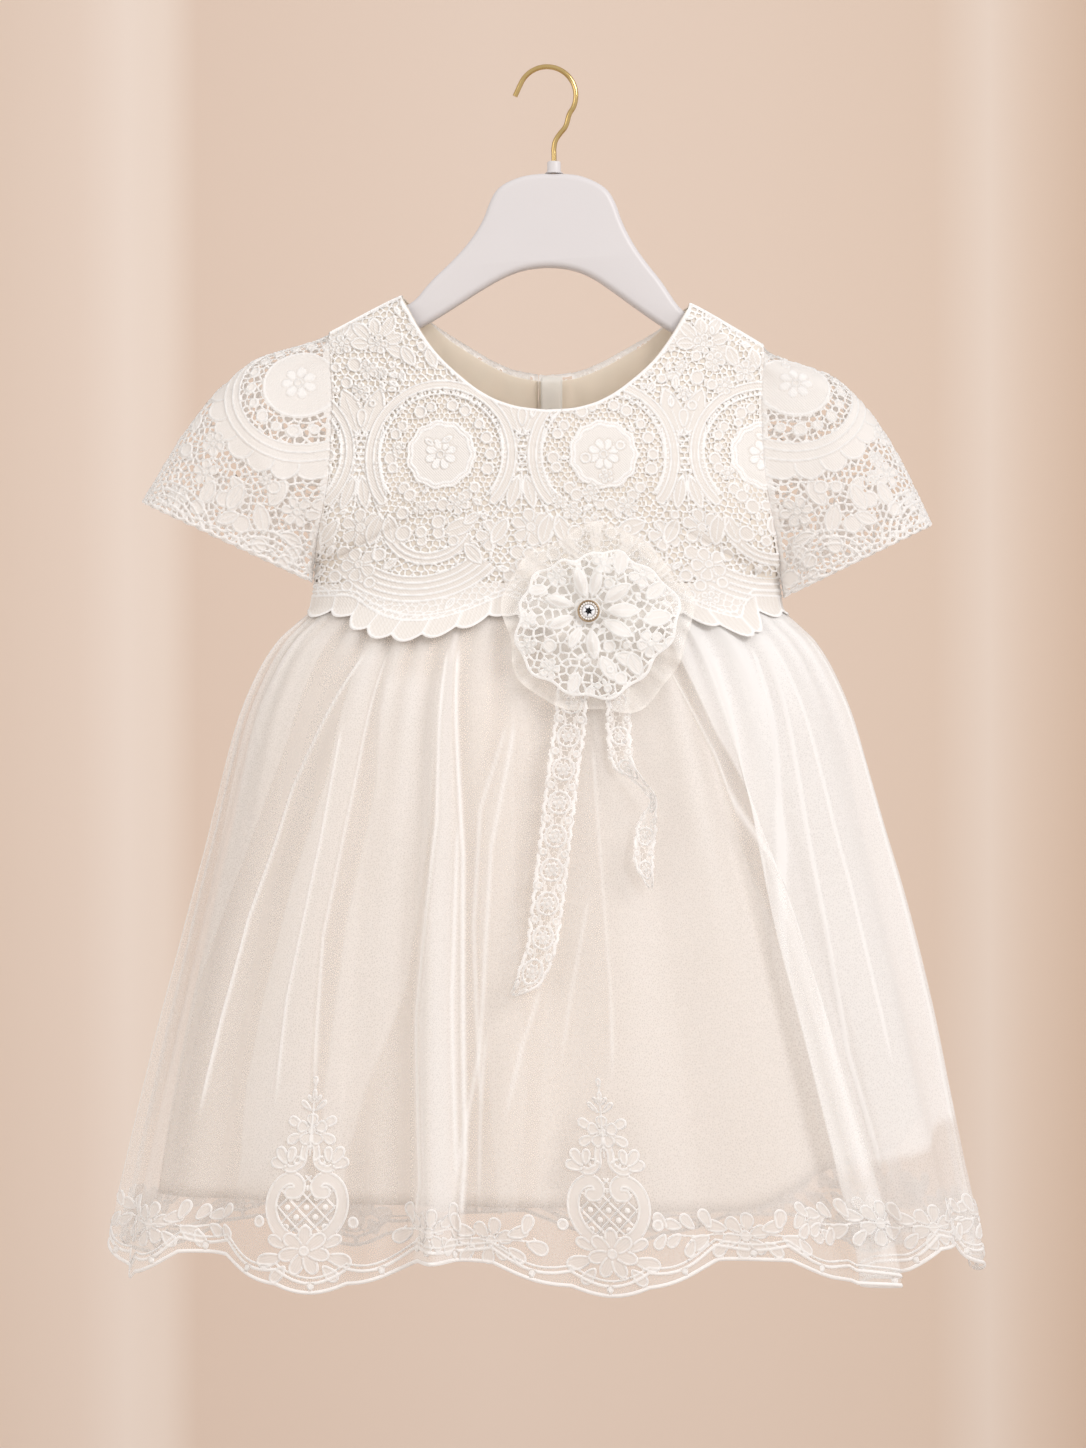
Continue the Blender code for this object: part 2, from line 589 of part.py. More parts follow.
def gather_lift(cloth, drop):
    """Small gathers, uneven in height, that fade out down the skirt."""
    if drop >= GATHER_END:
        return 0.0
    grow = GATHER_TOP + (GATHER_FULL - GATHER_TOP) * ease(drop / GATHER_FULL_AT)
    fade = 1 - ease((drop - GATHER_FULL_AT) / (GATHER_END - GATHER_FULL_AT))
    uneven = 0.75 + 0.25 * math.sin(23 * cloth) * math.cos(9.7 * cloth)
    wave = 0.5 + 0.5 * math.cos(math.pi * cloth * GATHERS_PER_SIDE)
    return grow * fade * uneven * wave


def lap_shift(cloth, drop):
    """Sideways swing and lift of the cloth in the overlapping pleat."""
    near = (cloth - LAP_AT) / LAP_HALF
    share = ease((drop - 25) / 150) * (0.45 + 0.55 * min(1.0, drop / HEM_DROP))
    if abs(near) >= 1.6:
        return 0.0, 0.0
    swing = -LAP_OVER * share * math.sin(math.pi * near) if abs(near) < 1 else 0.0
    step = -LAP_STEP * share * math.sin(math.pi / 2 * max(-1.0, min(1.0, near)))
    fade = 1 - ease((abs(near) - 1) / 0.6)
    return swing, LAP_STEP * share * bump(near / 1.6) + step * fade


def skirt_place(cloth, drop):
    share = min(1.0, drop / HEM_DROP)
    return waist_place(cloth) * (1 - share) + cloth * share


def overskirt_drop(cloth):
    """Length of the overskirt below the waist seam, with its scallops."""
    turn = (cloth - HEM_MOTIF_AT) * HEM_MOTIFS / 4 * 2 * math.pi
    small = abs(math.cos(turn * SMALL_PER_MOTIF / 2)) - 0.5
    return HEM_DROP + DEEP_SCALLOP * math.cos(turn) + SMALL_SCALLOP * small


def seam_inset(around, middle, half_depth):
    """Draws a panel's side edges in, so that the seam stays open by SEAM."""
    return middle + (around - middle) * (1 - SEAM / 2 / (1.6 * half_depth))


def overskirt_point(cloth, share, middle):
    drop = overskirt_drop(cloth) * share
    z = WAIST - WAIST_SEAM - drop
    half_depth = along(FORM, z, "half_depth")
    around = seam_inset(skirt_place(cloth, drop), middle, half_depth)
    x, y, out_x, out_y = ring_point(around, along(FORM, z, "half_width"), half_depth,
                                    along(FORM, z, "corner"))
    swing, step = lap_shift(cloth, drop)
    lift = LAYER_GAP + TULLE_WALL / 2 + gather_lift(cloth, drop) + fold_lift(cloth, drop)
    lift += step
    return x + out_x * lift - out_y * swing, y + out_y * lift + out_x * swing, z


def underskirt_point(cloth, share, middle):
    drop = (WAIST - along(UNDER_HEM, cloth, "height")) * share
    z = WAIST - WAIST_SEAM - drop
    half_depth = along(FORM, z, "half_depth") - along(UNDERSKIRT, drop, "front")
    half_width = along(FORM, z, "half_width") - along(UNDERSKIRT, drop, "side")
    around = seam_inset(skirt_place(cloth, drop), middle, half_depth)
    x, y, out_x, out_y = ring_point(around, half_width, half_depth, along(FORM, z, "corner"))
    lift = -SATIN_WALL / 2 + UNDER_FOLD_SHARE * fold_lift(cloth, drop) * ease(drop / 60)
    return x + out_x * lift, y + out_y * lift, z


def skirt_columns(first, last, pitch, narrow):
    """Columns a pitch apart, closer where a narrow fold needs them."""
    columns = [first]
    while columns[-1] < last - 1e-6:
        at = columns[-1]
        close = any(low - 1e-6 <= at < high - 1e-6 for low, high in narrow)
        stop = min([low for low, _ in narrow if low > at + 1e-6] + [last])
        columns.append(min(at + (pitch / 3 if close else pitch), stop if not close else last))
        if stop - columns[-1] < pitch / 6:
            columns[-1] = stop
    return columns


OVER_ROWS = [0, 0.035, 0.08, 0.16, 0.28, 0.43, 0.6, 0.78, 0.9, 1]
UNDER_ROWS = [0, 0.06, 0.15, 0.32, 0.54, 0.78, 1]
GATHER_PITCH = 1 / GATHERS_PER_SIDE


def build_skirts():
    pleat = FOLDS[4]
    narrow = [(pleat.cloth - pleat.width, pleat.cloth + pleat.width),
              (LAP_AT - LAP_HALF, LAP_AT + LAP_HALF)]
    for half, first in (("front", 0), ("back", 2)):
        columns = skirt_columns(first, first + 2, GATHER_PITCH, narrow if half == "front" else [])
        sheet("overskirt_" + half, columns, OVER_ROWS,
              lambda cloth, share, m=first + 1: overskirt_point(cloth, share, m), TULLE_WALL, TULLE)
        sheet("underskirt_" + half, steps(first, first + 2, 22), UNDER_ROWS,
              lambda cloth, share, m=first + 1: underskirt_point(cloth, share, m),
              SATIN_WALL, SATIN_WHITE)


# ---- flower and tails --------------------------------------------------------------
def front_cover(x, z):
    """Y of the foremost cloth over the front at a place, without its folds' shapes."""
    half_width = along(FORM, z, "half_width")
    depth = along(FORM, z, "half_depth") * half_outline(x / half_width, along(FORM, z, "corner"))
    lace = along(LACE_STAND, z, "off") + LACE_WALL
    drop = WAIST - z
    skirt = LAYER_GAP + TULLE_WALL
    if drop > 0:
        skirt += GATHER_FULL * (1 - ease((drop - GATHER_FULL_AT) / (GATHER_END - GATHER_FULL_AT)))
        around = 1 + math.asin(max(-1.0, min(1.0, x / half_width))) * 2 / math.pi
        skirt += max(fold_lift(around + nudge, drop) for nudge in (-0.05, -0.025, 0, 0.025, 0.05))
    if z > -304:
        return -(depth + max(lace, skirt))
    return -(depth + skirt)


def around_point(middle_x, middle_z, turn, reach):
    """Place at degrees clockwise from the top round a middle, as seen from the front."""
    angle = math.radians(turn)
    return middle_x + reach * math.sin(angle), middle_z + reach * math.cos(angle)


def flower_seat():
    """Y of the flat middle that the two rosettes and the button are stacked on."""
    spots = [around_point(BUTTON_X, BUTTON_Z, turn, 1.5 * SEAT_RADIUS) for turn in range(0, 360, 30)]
    return min(front_cover(x, z) for x, z in spots) - LAYER_GAP


def ruffle_point(turn, share):
    reach = EYE_RADIUS + (RUFFLE_REACH - EYE_RADIUS) * share
    reach += 1.5 * math.sin(math.radians(turn) * 5) * share
    slide = ease(share / 0.5)
    x, z = around_point(BUTTON_X + (RUFFLE_X - BUTTON_X) * slide,
                        BUTTON_Z + (RUFFLE_Z - BUTTON_Z) * slide, turn, reach)
    wave = RUFFLE_WAVE * share * (1 + math.cos(math.radians(turn) * RUFFLE_WAVES)) / 2
    spread = front_cover(x, z) - LAYER_GAP - RUFFLE_RISE - wave
    rise = ease((reach - SEAT_RADIUS) / 10)
    return x, (flower_seat() - TULLE_WALL / 2) * (1 - rise) + (spread - TULLE_WALL / 2) * rise, z


def flower_point(turn, share):
    reach = EYE_RADIUS + (along(FLOWER, turn % 360, "reach") - EYE_RADIUS) * share
    reach += 1.4 * math.cos(math.radians(turn) * FLOWER_FOLDS) * share
    x, z = around_point(BUTTON_X, BUTTON_Z, turn, reach)
    fold = FLOWER_FOLD * (1 + math.cos(math.radians(turn) * FLOWER_FOLDS)) / 2
    under = TULLE_WALL + 2 * LAYER_GAP + LACE_WALL / 2
    dome = FLOWER_DOME * bump((share - 0.62) / 0.62) + RUFFLE_WAVE + fold
    spread = front_cover(x, z) - LAYER_GAP - RUFFLE_RISE - under - dome
    rise = ease((reach - SEAT_RADIUS) / 10)
    return x, (flower_seat() - under) * (1 - rise) + spread * rise, z


def build_flower():
    turns = steps(0, 360, RUFFLE_WAVES * 3)
    sheet("flower_tulle_ruffle", turns, [0, 0.1, 0.3, 0.6, 1], ruffle_point, TULLE_WALL, TULLE, True)
    turns = steps(0, 360, FLOWER_FOLDS * 3)
    sheet("flower_lace", turns, [0, 0.12, 0.35, 0.65, 1], flower_point, LACE_WALL, LACE, True)
    middle = flower_point(0, 0)[1] - LACE_WALL / 2 - LAYER_GAP
    ring = bmesh.new()
    section = [(BUTTON_RADIUS - 2.2, 0), (BUTTON_RADIUS - 0.3, 0), (BUTTON_RADIUS, 0.9),
               (BUTTON_RADIUS - 0.5, 2.0), (BUTTON_RADIUS - 1.4, 2.3), (BUTTON_RADIUS - 2.2, 1.7)]
    corners = [ring.verts.new((radius * MM, -depth * MM, 0)) for radius, depth in section]
    edges = [ring.edges.new((a, b)) for a, b in zip(corners, corners[1:] + corners[:1])]
    bmesh.ops.spin(ring, geom=corners + edges, cent=(0, 0, 0), axis=(0, 1, 0), dvec=(0, 0, 0),
                   angle=math.tau, steps=20, use_merge=True)
    bmesh.ops.recalc_face_normals(ring, faces=ring.faces[:])
    mesh = bpy.data.meshes.new("flower_button_rim")
    ring.to_mesh(mesh)
    ring.free()
    rim = add_object("flower_button_rim", mesh, GOLD)
    rim.location = (BUTTON_X * MM, middle * MM, BUTTON_Z * MM)
    stone = bmesh.new()
    bmesh.ops.create_cone(stone, cap_ends=True, segments=16, radius1=(BUTTON_RADIUS - 2.5) * MM,
                          radius2=(BUTTON_RADIUS - 4.0) * MM, depth=2.6 * MM)
    mesh = bpy.data.meshes.new("flower_crystal")
    stone.to_mesh(mesh)
    stone.free()
    crystal = add_object("flower_crystal", mesh, CRYSTAL, smooth=False)
    crystal.rotation_euler.x = math.radians(90)
    crystal.location = (BUTTON_X * MM, (middle - 1.3) * MM, BUTTON_Z * MM)


def tail_placer(rows):
    """Ribbon over the skirt, by shares across its width and down its height."""
    low, top = rows[0].z, rows[-1].z

    def place(across, share):
        z = top + share * (low - top)
        x, width = along(rows, z, "x"), along(rows, z, "width")
        turn = math.radians(along(rows, z, "turn"))
        slope = (along(rows, z + 1, "x") - along(rows, z - 1, "x")) / 2
        lean = math.atan(slope)
        side = across * width / 2
        reach = side * math.cos(turn)
        rise = side * math.sin(turn) + width / 2 * abs(math.sin(turn))
        spot_x = x + reach * math.cos(lean)
        spot_z = z - reach * math.sin(lean)
        cover = min(front_cover(spot_x + nudge, spot_z) for nudge in (-8, -4, 0, 4, 8))
        tuck = TAIL_TUCK * ease((z - top + 24) / 20)
        return spot_x, cover - LAYER_GAP - RIBBON_WALL / 2 - rise - tuck, spot_z
    return place


def build_tails():
    for name, rows, count in (("tail_long", LONG_TAIL, 20), ("tail_short", SHORT_TAIL, 16)):
        sheet(name, [-1, 0, 1], steps(0, 1, count), tail_placer(rows), RIBBON_WALL, LACE)


# ---- hanger ------------------------------------------------------------------------
def arm_top(x):
    """Top of a hanger's arm, seated under the lining and a little lower at the neck."""
    at_neck = NECK_DIP * bump((abs(x) - NECK_EDGE + 4) / 8)
    return shoulder_ridge(x) - SATIN_WALL - SEAT - at_neck


def hanger_outline():
    """Corner points of the hanger, round from the top to the right and back."""
    right = [(row.right, row.height) for row in HANGER_OUTSIDE]
    right += [(x, arm_top(x)) for x in ARM_TOPS]
    right += [(x, arm_top(x) - depth) for x, depth in ARM_END]
    right += [(row.right, row.height) for row in reversed(HANGER_ARCH)]
    left = [(row.left, row.height) for row in HANGER_OUTSIDE]
    left += [(-x, arm_top(-x)) for x in ARM_TOPS]
    left += [(-x, arm_top(-x) - depth) for x, depth in ARM_END]
    left += [(row.left, row.height) for row in reversed(HANGER_ARCH[1:])]
    return right + left[::-1]


def build_hanger():
    work = bmesh.new()
    corners = [work.verts.new((x * MM, -HANGER_HALF * MM, z * MM)) for x, z in hanger_outline()]
    face = work.faces.new(corners)
    grown = bmesh.ops.extrude_face_region(work, geom=[face])
    moved = [item for item in grown["geom"] if isinstance(item, bmesh.types.BMVert)]
    bmesh.ops.translate(work, vec=(0, 2 * HANGER_HALF * MM, 0), verts=moved)
    bmesh.ops.recalc_face_normals(work, faces=work.faces[:])
    mesh = bpy.data.meshes.new("hanger_body")
    work.to_mesh(mesh)
    work.free()
    body = add_object("hanger_body", mesh, PLASTIC)
    rounding = body.modifiers.new("round_edges", "BEVEL")
    rounding.width = HANGER_ROUND * MM
    rounding.segments = 2
    rounding.limit_method = "ANGLE"
    rounding.angle_limit = math.radians(60)

    collar = bmesh.new()
    bottom = HANGER_OUTSIDE[0].height + LAYER_GAP
    bore = WIRE + LAYER_GAP
    section = [(bore, COLLAR_TOP), (COLLAR_RADIUS - 0.6, COLLAR_TOP), (COLLAR_RADIUS, COLLAR_TOP - 0.6),
               (COLLAR_RADIUS, bottom + 0.8), (COLLAR_RADIUS + 1.2, bottom), (bore, bottom)]
    points = [collar.verts.new((radius * MM, 0, z * MM)) for radius, z in section]
    edges = [collar.edges.new((a, b)) for a, b in zip(points, points[1:] + points[:1])]
    bmesh.ops.spin(collar, geom=points + edges, cent=(0, 0, 0), axis=(0, 0, 1), dvec=(0, 0, 0),
                   angle=math.tau, steps=16, use_merge=True)
    bmesh.ops.recalc_face_normals(collar, faces=collar.faces[:])
    mesh = bpy.data.meshes.new("hanger_collar")
    collar.to_mesh(mesh)
    collar.free()
    add_object("hanger_collar", mesh, PLASTIC).location.x = COLLAR_X * MM

    build_hook()


def build_hook():
    """Wire with its inside top at the origin, bent round and down to the collar."""
    middle = WIRE - HOOK_RADIUS
    points = [(-16.8, middle - 0.2), (-15.5, middle + 2.6)]
    turn = HOOK_TIP_TURN
    while turn >= HOOK_STEM_TURN:
        angle = math.radians(turn)
        points.append((HOOK_RADIUS * math.cos(angle), middle + HOOK_RADIUS * math.sin(angle)))
        turn -= 14
    points += [(9.6, -30.4), (6.8, -34.0), (4.6, -37.4), (COLLAR_X, -41.2), (COLLAR_X, -46.0),
               (COLLAR_X, HANGER_OUTSIDE[0].height + LAYER_GAP)]
    curve = bpy.data.curves.new("hanger_hook", "CURVE")
    curve.dimensions = "3D"
    curve.bevel_depth = WIRE * MM
    curve.bevel_resolution = 2
    curve.use_fill_caps = True
    line = curve.splines.new("POLY")
    line.points.add(len(points) - 1)
    for point, (x, z) in zip(line.points, points):
        point.co = (x * MM, 0, z * MM, 1)
    curve.materials.append(finish("hanger_hook_finish", GOLD))
    PART.objects.link(bpy.data.objects.new("hanger_hook", curve))


# ---- build -------------------------------------------------------------------------
for old in list(bpy.data.objects):
    bpy.data.objects.remove(old)
PART = bpy.data.collections.new("christening_dress_on_hanger")
bpy.context.scene.collection.children.link(PART)

build_lining()
build_lace()
build_back_closure()
build_sleeves()
build_skirts()
build_flower()
build_tails()
build_hanger()
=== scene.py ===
# %% [markdown]
# # A christening dress on its hanger
# The real thing is a baby's party dress: a guipure lace bodice over a satin lining,
# two flared lace sleeves, a satin underskirt, a gathered net overskirt with an
# embroidered hem, and a lace flower with two lace tails. It hangs on a moulded hanger.
# The measured solids come first, and every soft piece is then made again, thin and
# detailed, on the same surfaces. Sizes below are in millimetres unless they say so.

# %% Load the measured solids
import json
import math

import bmesh
import bpy
import numpy as np
from mathutils import Matrix, Vector

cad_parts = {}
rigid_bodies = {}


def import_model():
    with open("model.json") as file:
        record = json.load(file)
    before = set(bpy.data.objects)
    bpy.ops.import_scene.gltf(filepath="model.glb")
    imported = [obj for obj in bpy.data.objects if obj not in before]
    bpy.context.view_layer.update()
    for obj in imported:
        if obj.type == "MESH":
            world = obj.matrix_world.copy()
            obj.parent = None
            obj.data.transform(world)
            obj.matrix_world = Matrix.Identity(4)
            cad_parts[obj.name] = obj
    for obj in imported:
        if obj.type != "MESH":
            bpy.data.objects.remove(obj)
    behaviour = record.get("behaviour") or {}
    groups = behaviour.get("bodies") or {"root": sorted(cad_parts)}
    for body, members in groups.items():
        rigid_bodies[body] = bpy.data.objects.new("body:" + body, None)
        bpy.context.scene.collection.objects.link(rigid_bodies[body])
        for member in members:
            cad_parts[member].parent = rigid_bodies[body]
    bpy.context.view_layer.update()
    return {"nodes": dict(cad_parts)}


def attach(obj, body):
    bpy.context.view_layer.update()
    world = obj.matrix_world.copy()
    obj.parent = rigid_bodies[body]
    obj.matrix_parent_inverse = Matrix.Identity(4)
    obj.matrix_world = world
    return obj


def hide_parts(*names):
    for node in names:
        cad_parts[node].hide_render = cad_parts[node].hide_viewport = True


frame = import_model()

MM = 0.001
FRONT, BACK = -1, 1
LEFT, RIGHT = -1, 1

# %% [markdown]
# ## Helpers for smooth tables
# A dress form is a stack of rounded sections. A short table names each section, and a
# smooth curve that never overshoots reads the values in between. The curve is written
# for whole arrays, because a sheet of lace has a hundred thousand corners.

# %% Smooth curves through short tables
def curve_through(rows, column):
    keys = np.array([row[0] for row in rows], float)
    values = np.array([row[column] for row in rows], float)
    slopes = np.diff(values) / np.diff(keys)
    tangents = np.zeros(len(keys))
    tangents[0], tangents[-1] = slopes[0], slopes[-1]
    before, after = slopes[:-1], slopes[1:]
    same_way = before * after > 0
    tangents[1:-1][same_way] = (2 * before * after)[same_way] / (before + after)[same_way]

    def read(at):
        at = np.clip(at, keys[0], keys[-1])
        i = np.clip(np.searchsorted(keys, at), 1, len(keys) - 1)
        span = keys[i] - keys[i - 1]
        t = (at - keys[i - 1]) / span
        blend = t * t * (3 - 2 * t)
        bend = span * t * (1 - t) * ((1 - t) * tangents[i - 1] - t * tangents[i])
        return values[i - 1] * (1 - blend) + values[i] * blend + bend
    return read


def ease(value):
    value = np.clip(value, 0, 1)
    return value * value * (3 - 2 * value)


def bump(value):
    return 0.5 * (1 + np.cos(np.pi * np.clip(value, -1, 1)))


def half_outline(across, power):
    return np.sqrt(np.clip(1 - np.abs(across) ** power, 0, None))


# %% [markdown]
# ## The form under the cloth
# The same numbers as the solids': height, half width, half depth, and the power of the
# rounded outline. The neck tables give distance from the centre and height.

# %% The form's sections
FORM = [
    (-630, 221.5, 94.5, 2.2), (-617, 220.5, 94, 2.2), (-570, 212, 89, 2.2), (-529, 203.5, 84, 2.25),
    (-501, 197.5, 80, 2.3), (-467, 189.5, 75, 2.35), (-429, 180.5, 69, 2.4), (-401, 173.5, 65, 2.5),
    (-373, 167, 60, 2.6), (-342, 159, 54, 2.7), (-318, 149, 47.5, 2.8), (-301, 138.5, 42, 2.9),
    (-292, 129.5, 38, 3.0), (-283, 122.5, 34, 3.0), (-262, 121, 33, 3.0), (-246, 118.5, 32.5, 3.0),
    (-231, 115.5, 32, 3.0), (-214, 112.7, 31, 3.0), (-197, 111.5, 30, 3.0), (-180, 111.2, 29, 3.0),
    (-155, 112.5, 27, 3.0), (-139, 113.5, 26, 3.0), (-100, 114, 25, 3.0),
]
form_width, form_depth, form_corner = (curve_through(FORM, column) for column in (1, 2, 3))
FRONT_NECK = [(0, -181.6), (13, -180.4), (24, -177.5), (34, -172.5), (45, -164), (56.5, -152.5),
              (64, -141.5), (70.5, -130), (74, -123), (75.2, -116)]
BACK_NECK = [(0, -159.5), (15, -157.5), (24, -154.5), (34, -149.5), (45, -143), (55, -137),
             (64, -130.5), (70.5, -125.5), (74, -122), (75.2, -116)]
neck_height = {FRONT: curve_through(FRONT_NECK, 1), BACK: curve_through(BACK_NECK, 1)}
WAIST, LEAN, SHOULDER_HALF, BACK_OPENING = -283.0, 0.0296, 112.5, -4.5
SHOULDER_ARCH, ARMHOLE_HALF_DEPTH = 9.0, 24.0
LACE_OFF, LACE_WALL, LAYER_GAP = 1.2, 1.4, 0.3
LACE_STAND = [(-330, 9.5), (-305, 7.4), (-291, 5.2), (-283, 3.4), (-276, 2.0), (-266, LACE_OFF),
              (-100, LACE_OFF)]
lace_stand = curve_through(LACE_STAND, 1)


# %% The bodice's surface
def shoulder_ridge(x):
    far = np.abs(x)
    past_neck = 4 * np.logaddexp(0, (far - 75) / 4)
    return -99.7 - 0.30 * far - 0.268 * past_neck - LEAN * x


def bodice_top(side, x, out):
    edge = neck_height[side](np.abs(x + 0.8)) - LEAN * x
    return np.minimum(edge, shoulder_ridge(x) + out)


def chest_depth(x, z, out):
    arch = SHOULDER_ARCH + out
    drop = np.clip(shoulder_ridge(x) + out - z, 0, None)
    near = arch * np.sqrt(1 - (1 - np.minimum(drop / arch, 1)) ** 2)
    return near + (form_depth(z) - SHOULDER_ARCH) * ease(drop / 110)


def armhole_depth(x, z, deepest):
    underarm = np.where(x < 0, -260.0, -268.0)
    tip = np.where(x < 0, -SHOULDER_HALF, SHOULDER_HALF)
    top = shoulder_ridge(np.clip(x, -SHOULDER_HALF, SHOULDER_HALF))
    share = (top - z) / (shoulder_ridge(tip) - underarm)
    hole = ARMHOLE_HALF_DEPTH * 2 * np.sqrt(np.clip(share * (1 - share), 0, None))
    return np.minimum(hole, 0.9 * deepest)


def bodice_spot(side, across, z, out):
    """Point of the bodice at a share across and a height, moved out by out."""
    x = across * (form_width(z) + out)
    deep = chest_depth(x, z, out)
    edge = armhole_depth(x, z, deep)
    depth = edge + (deep - edge) * half_outline(across, form_corner(z))
    return x, side * np.maximum(depth, 0.2), z


# %% [markdown]
# ## From flat cloth to a hanging piece
# A tailor thinks of cloth flat first. Each sheet here is a flat grid whose corners carry
# two numbers, the place across and up in the cut piece. A placing function then says
# where that spot of cloth hangs. The flat numbers stay on the mesh as a map, so a weave
# keeps its real size wherever the cloth bends.

# %% Grid sheets
collection = bpy.data.collections.new("dress")
bpy.context.scene.collection.children.link(collection)
made = {}


def mesh_from(work, name):
    """Ends a bmesh as a mesh."""
    mesh = bpy.data.meshes.new(name)
    work.to_mesh(mesh)
    work.free()
    return mesh


def dress(piece, solid=None):
    """Puts a piece on the part's one body; solid is the one whose place it takes."""
    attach(piece, "root")
    if solid:
        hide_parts(solid)


def keep(name, mesh, finish, solid=None):
    piece = bpy.data.objects.new(name, mesh)
    mesh.materials.append(finish)
    collection.objects.link(piece)
    mesh.shade_smooth()
    dress(piece, solid)
    made[name] = piece
    return piece


def give_wall(piece, thickness):
    wall = piece.modifiers.new("wall", "SOLIDIFY")
    wall.thickness, wall.offset = thickness * MM, 0


def cloth_grid(across, up, place, flat, flip=False, extra=None):
    """Grid mesh from 1D arrays of places across and up; flat gives the cut cloth in mm."""
    work = bmesh.new()
    bmesh.ops.create_grid(work, x_segments=len(across) - 1, y_segments=len(up) - 1, size=1)
    if flip:
        bmesh.ops.reverse_faces(work, faces=work.faces[:])
    mesh = mesh_from(work, "cloth")
    flat_x, flat_y = (part.ravel() for part in np.meshgrid(across, up))
    spots = np.stack(place(flat_x, flat_y), axis=1) * MM
    mesh.vertices.foreach_set("co", spots.ravel())
    corners = np.zeros(len(mesh.loops), dtype=np.int32)
    mesh.loops.foreach_get("vertex_index", corners)
    cut = np.stack(flat(flat_x, flat_y), axis=1)
    layer = mesh.uv_layers.new(name="flat")
    layer.data.foreach_set("uv", (cut[corners] * MM).ravel())
    for key, values in (extra or {}).items():
        mesh.attributes.new(key, "FLOAT", "POINT").data.foreach_set("value", values.ravel())
    mesh.update()
    return mesh


def steps(first, last, count):
    return np.linspace(first, last, count + 1)


# %% [markdown]
# ## Finishes
# Each finish is one shader with noise and fine ridges at the size of the real yarn.
# Lace yarn is matt. Its colour is a little lighter where it stands proud and creamier where it lies
# low, partly the yarn's own and partly painted light and shade. Satin has a soft gloss.
# Net lets most light through, so it is a mix of a clear and a white shader.

# %% A shader and its small parts
def new_finish(name, colour, rough, metal=0.0, **sockets):
    finish = bpy.data.materials.new(name)
    finish.use_nodes = True
    tree = finish.node_tree
    shader = tree.nodes["Principled BSDF"]
    shader.inputs["Base Color"].default_value = (*colour, 1)
    shader.inputs["Roughness"].default_value = rough
    shader.inputs["Metallic"].default_value = metal
    for socket, value in sockets.items():
        shader.inputs[socket.replace("_", " ")].default_value = value
    return finish, tree, shader


def node(tree, kind, **values):
    made_node = tree.nodes.new("ShaderNode" + kind)
    for key, value in values.items():
        if hasattr(made_node, key):
            setattr(made_node, key, value)
        else:
            made_node.inputs[key.replace("_", " ")].default_value = value
    return made_node


def noise(tree, coordinates, scale, detail=2.0):
    made_node = node(tree, "TexNoise", Scale=scale, Detail=detail)
    tree.links.new(coordinates, made_node.inputs["Vector"])
    return made_node.outputs["Fac"]


def blend_colour(tree, factor, low, high, into):
    ramp = node(tree, "Mix", data_type="RGBA")
    tree.links.new(factor, ramp.inputs[0])
    ramp.inputs[6].default_value = (*low, 1)
    ramp.inputs[7].default_value = (*high, 1)
    tree.links.new(ramp.outputs[2], into)


def raise_ridges(tree, shader, height, depth):
    ridges = node(tree, "Bump", Strength=1.0, Distance=depth)
    tree.links.new(height, ridges.inputs["Height"])
    tree.links.new(ridges.outputs["Normal"], shader.inputs["Normal"])


def let_light_through(tree, shader, colour, share):
    """Thin cloth is lit from behind too, so part of the light passes through it."""
    behind = node(tree, "BsdfTranslucent", Color=(*colour, 1))
    both = node(tree, "MixShader", Fac=share)
    tree.links.new(shader.outputs[0], both.inputs[1])
    tree.links.new(behind.outputs[0], both.inputs[2])
    tree.links.new(both.outputs[0], tree.nodes["Material Output"].inputs["Surface"])


# %% Lace yarn and embroidery yarn
def yarn_finish(name, low, high, ridge=0.0001, sheer=None, through=0.0):
    """Creamy in the low filling, whiter on the cords, partly the yarn's own and partly painted
    shade and painted light; sheer lets the filling show through.
    """
    finish, tree, shader = new_finish(name, high, 0.65, Sheen_Weight=0.15)
    flat = node(tree, "UVMap", uv_map="flat").outputs["UV"]
    stand = node(tree, "Attribute", attribute_name="relief").outputs["Fac"]
    # Painted light and shade: the relief picks the colour, creamy where low and white where raised.
    yarn_tone_and_painted_light = node(tree, "MapRange", From_Min=0.28, From_Max=0.56)
    tree.links.new(stand, yarn_tone_and_painted_light.inputs["Value"])
    blend_colour(tree, yarn_tone_and_painted_light.outputs["Result"], low, high, shader.inputs["Base Color"])
    if sheer is not None:
        cover = node(tree, "MapRange", From_Min=0.2, From_Max=0.55, To_Min=sheer, To_Max=1.0)
        tree.links.new(stand, cover.inputs["Value"])
        tree.links.new(cover.outputs["Result"], shader.inputs["Alpha"])
    rows = node(tree, "TexWave", wave_type="BANDS", bands_direction="DIAGONAL", Scale=420.0,
                Distortion=3.0, Detail=1.0, Detail_Scale=2.0)
    tree.links.new(flat, rows.inputs["Vector"])
    fuzz = noise(tree, flat, 2200.0)
    both = node(tree, "Math", operation="ADD")
    tree.links.new(rows.outputs["Fac"], both.inputs[0])
    tree.links.new(fuzz, both.inputs[1])
    raise_ridges(tree, shader, both.outputs[0], ridge)
    if through:
        let_light_through(tree, shader, high, through)
    return finish


# The filling's cream and the cord's white are partly the yarn's own, and partly painted shade and
# painted light.
FILLING_AND_PAINTED_SHADE, CORD_AND_PAINTED_LIGHT = (0.82, 0.77, 0.72), (0.96, 0.945, 0.93)
LACE_YARN = yarn_finish("lace_yarn", FILLING_AND_PAINTED_SHADE, CORD_AND_PAINTED_LIGHT, through=0.08)
# The backs, sleeves and flower take the lace yarn painted lighter, as painted light on their shaded
# sides; it also lets more light through.
THIN_LACE_YARN_PAINTED_LIGHTER = yarn_finish("thin_lace_yarn_painted_lighter", (0.92, 0.89, 0.86), (1.0, 0.995, 0.985),
                             through=0.32)
EMBROIDERY_YARN = yarn_finish("embroidery_yarn", (0.92, 0.88, 0.845), (0.99, 0.975, 0.96), 0.00008,
                              0.66,
                              through=0.3)


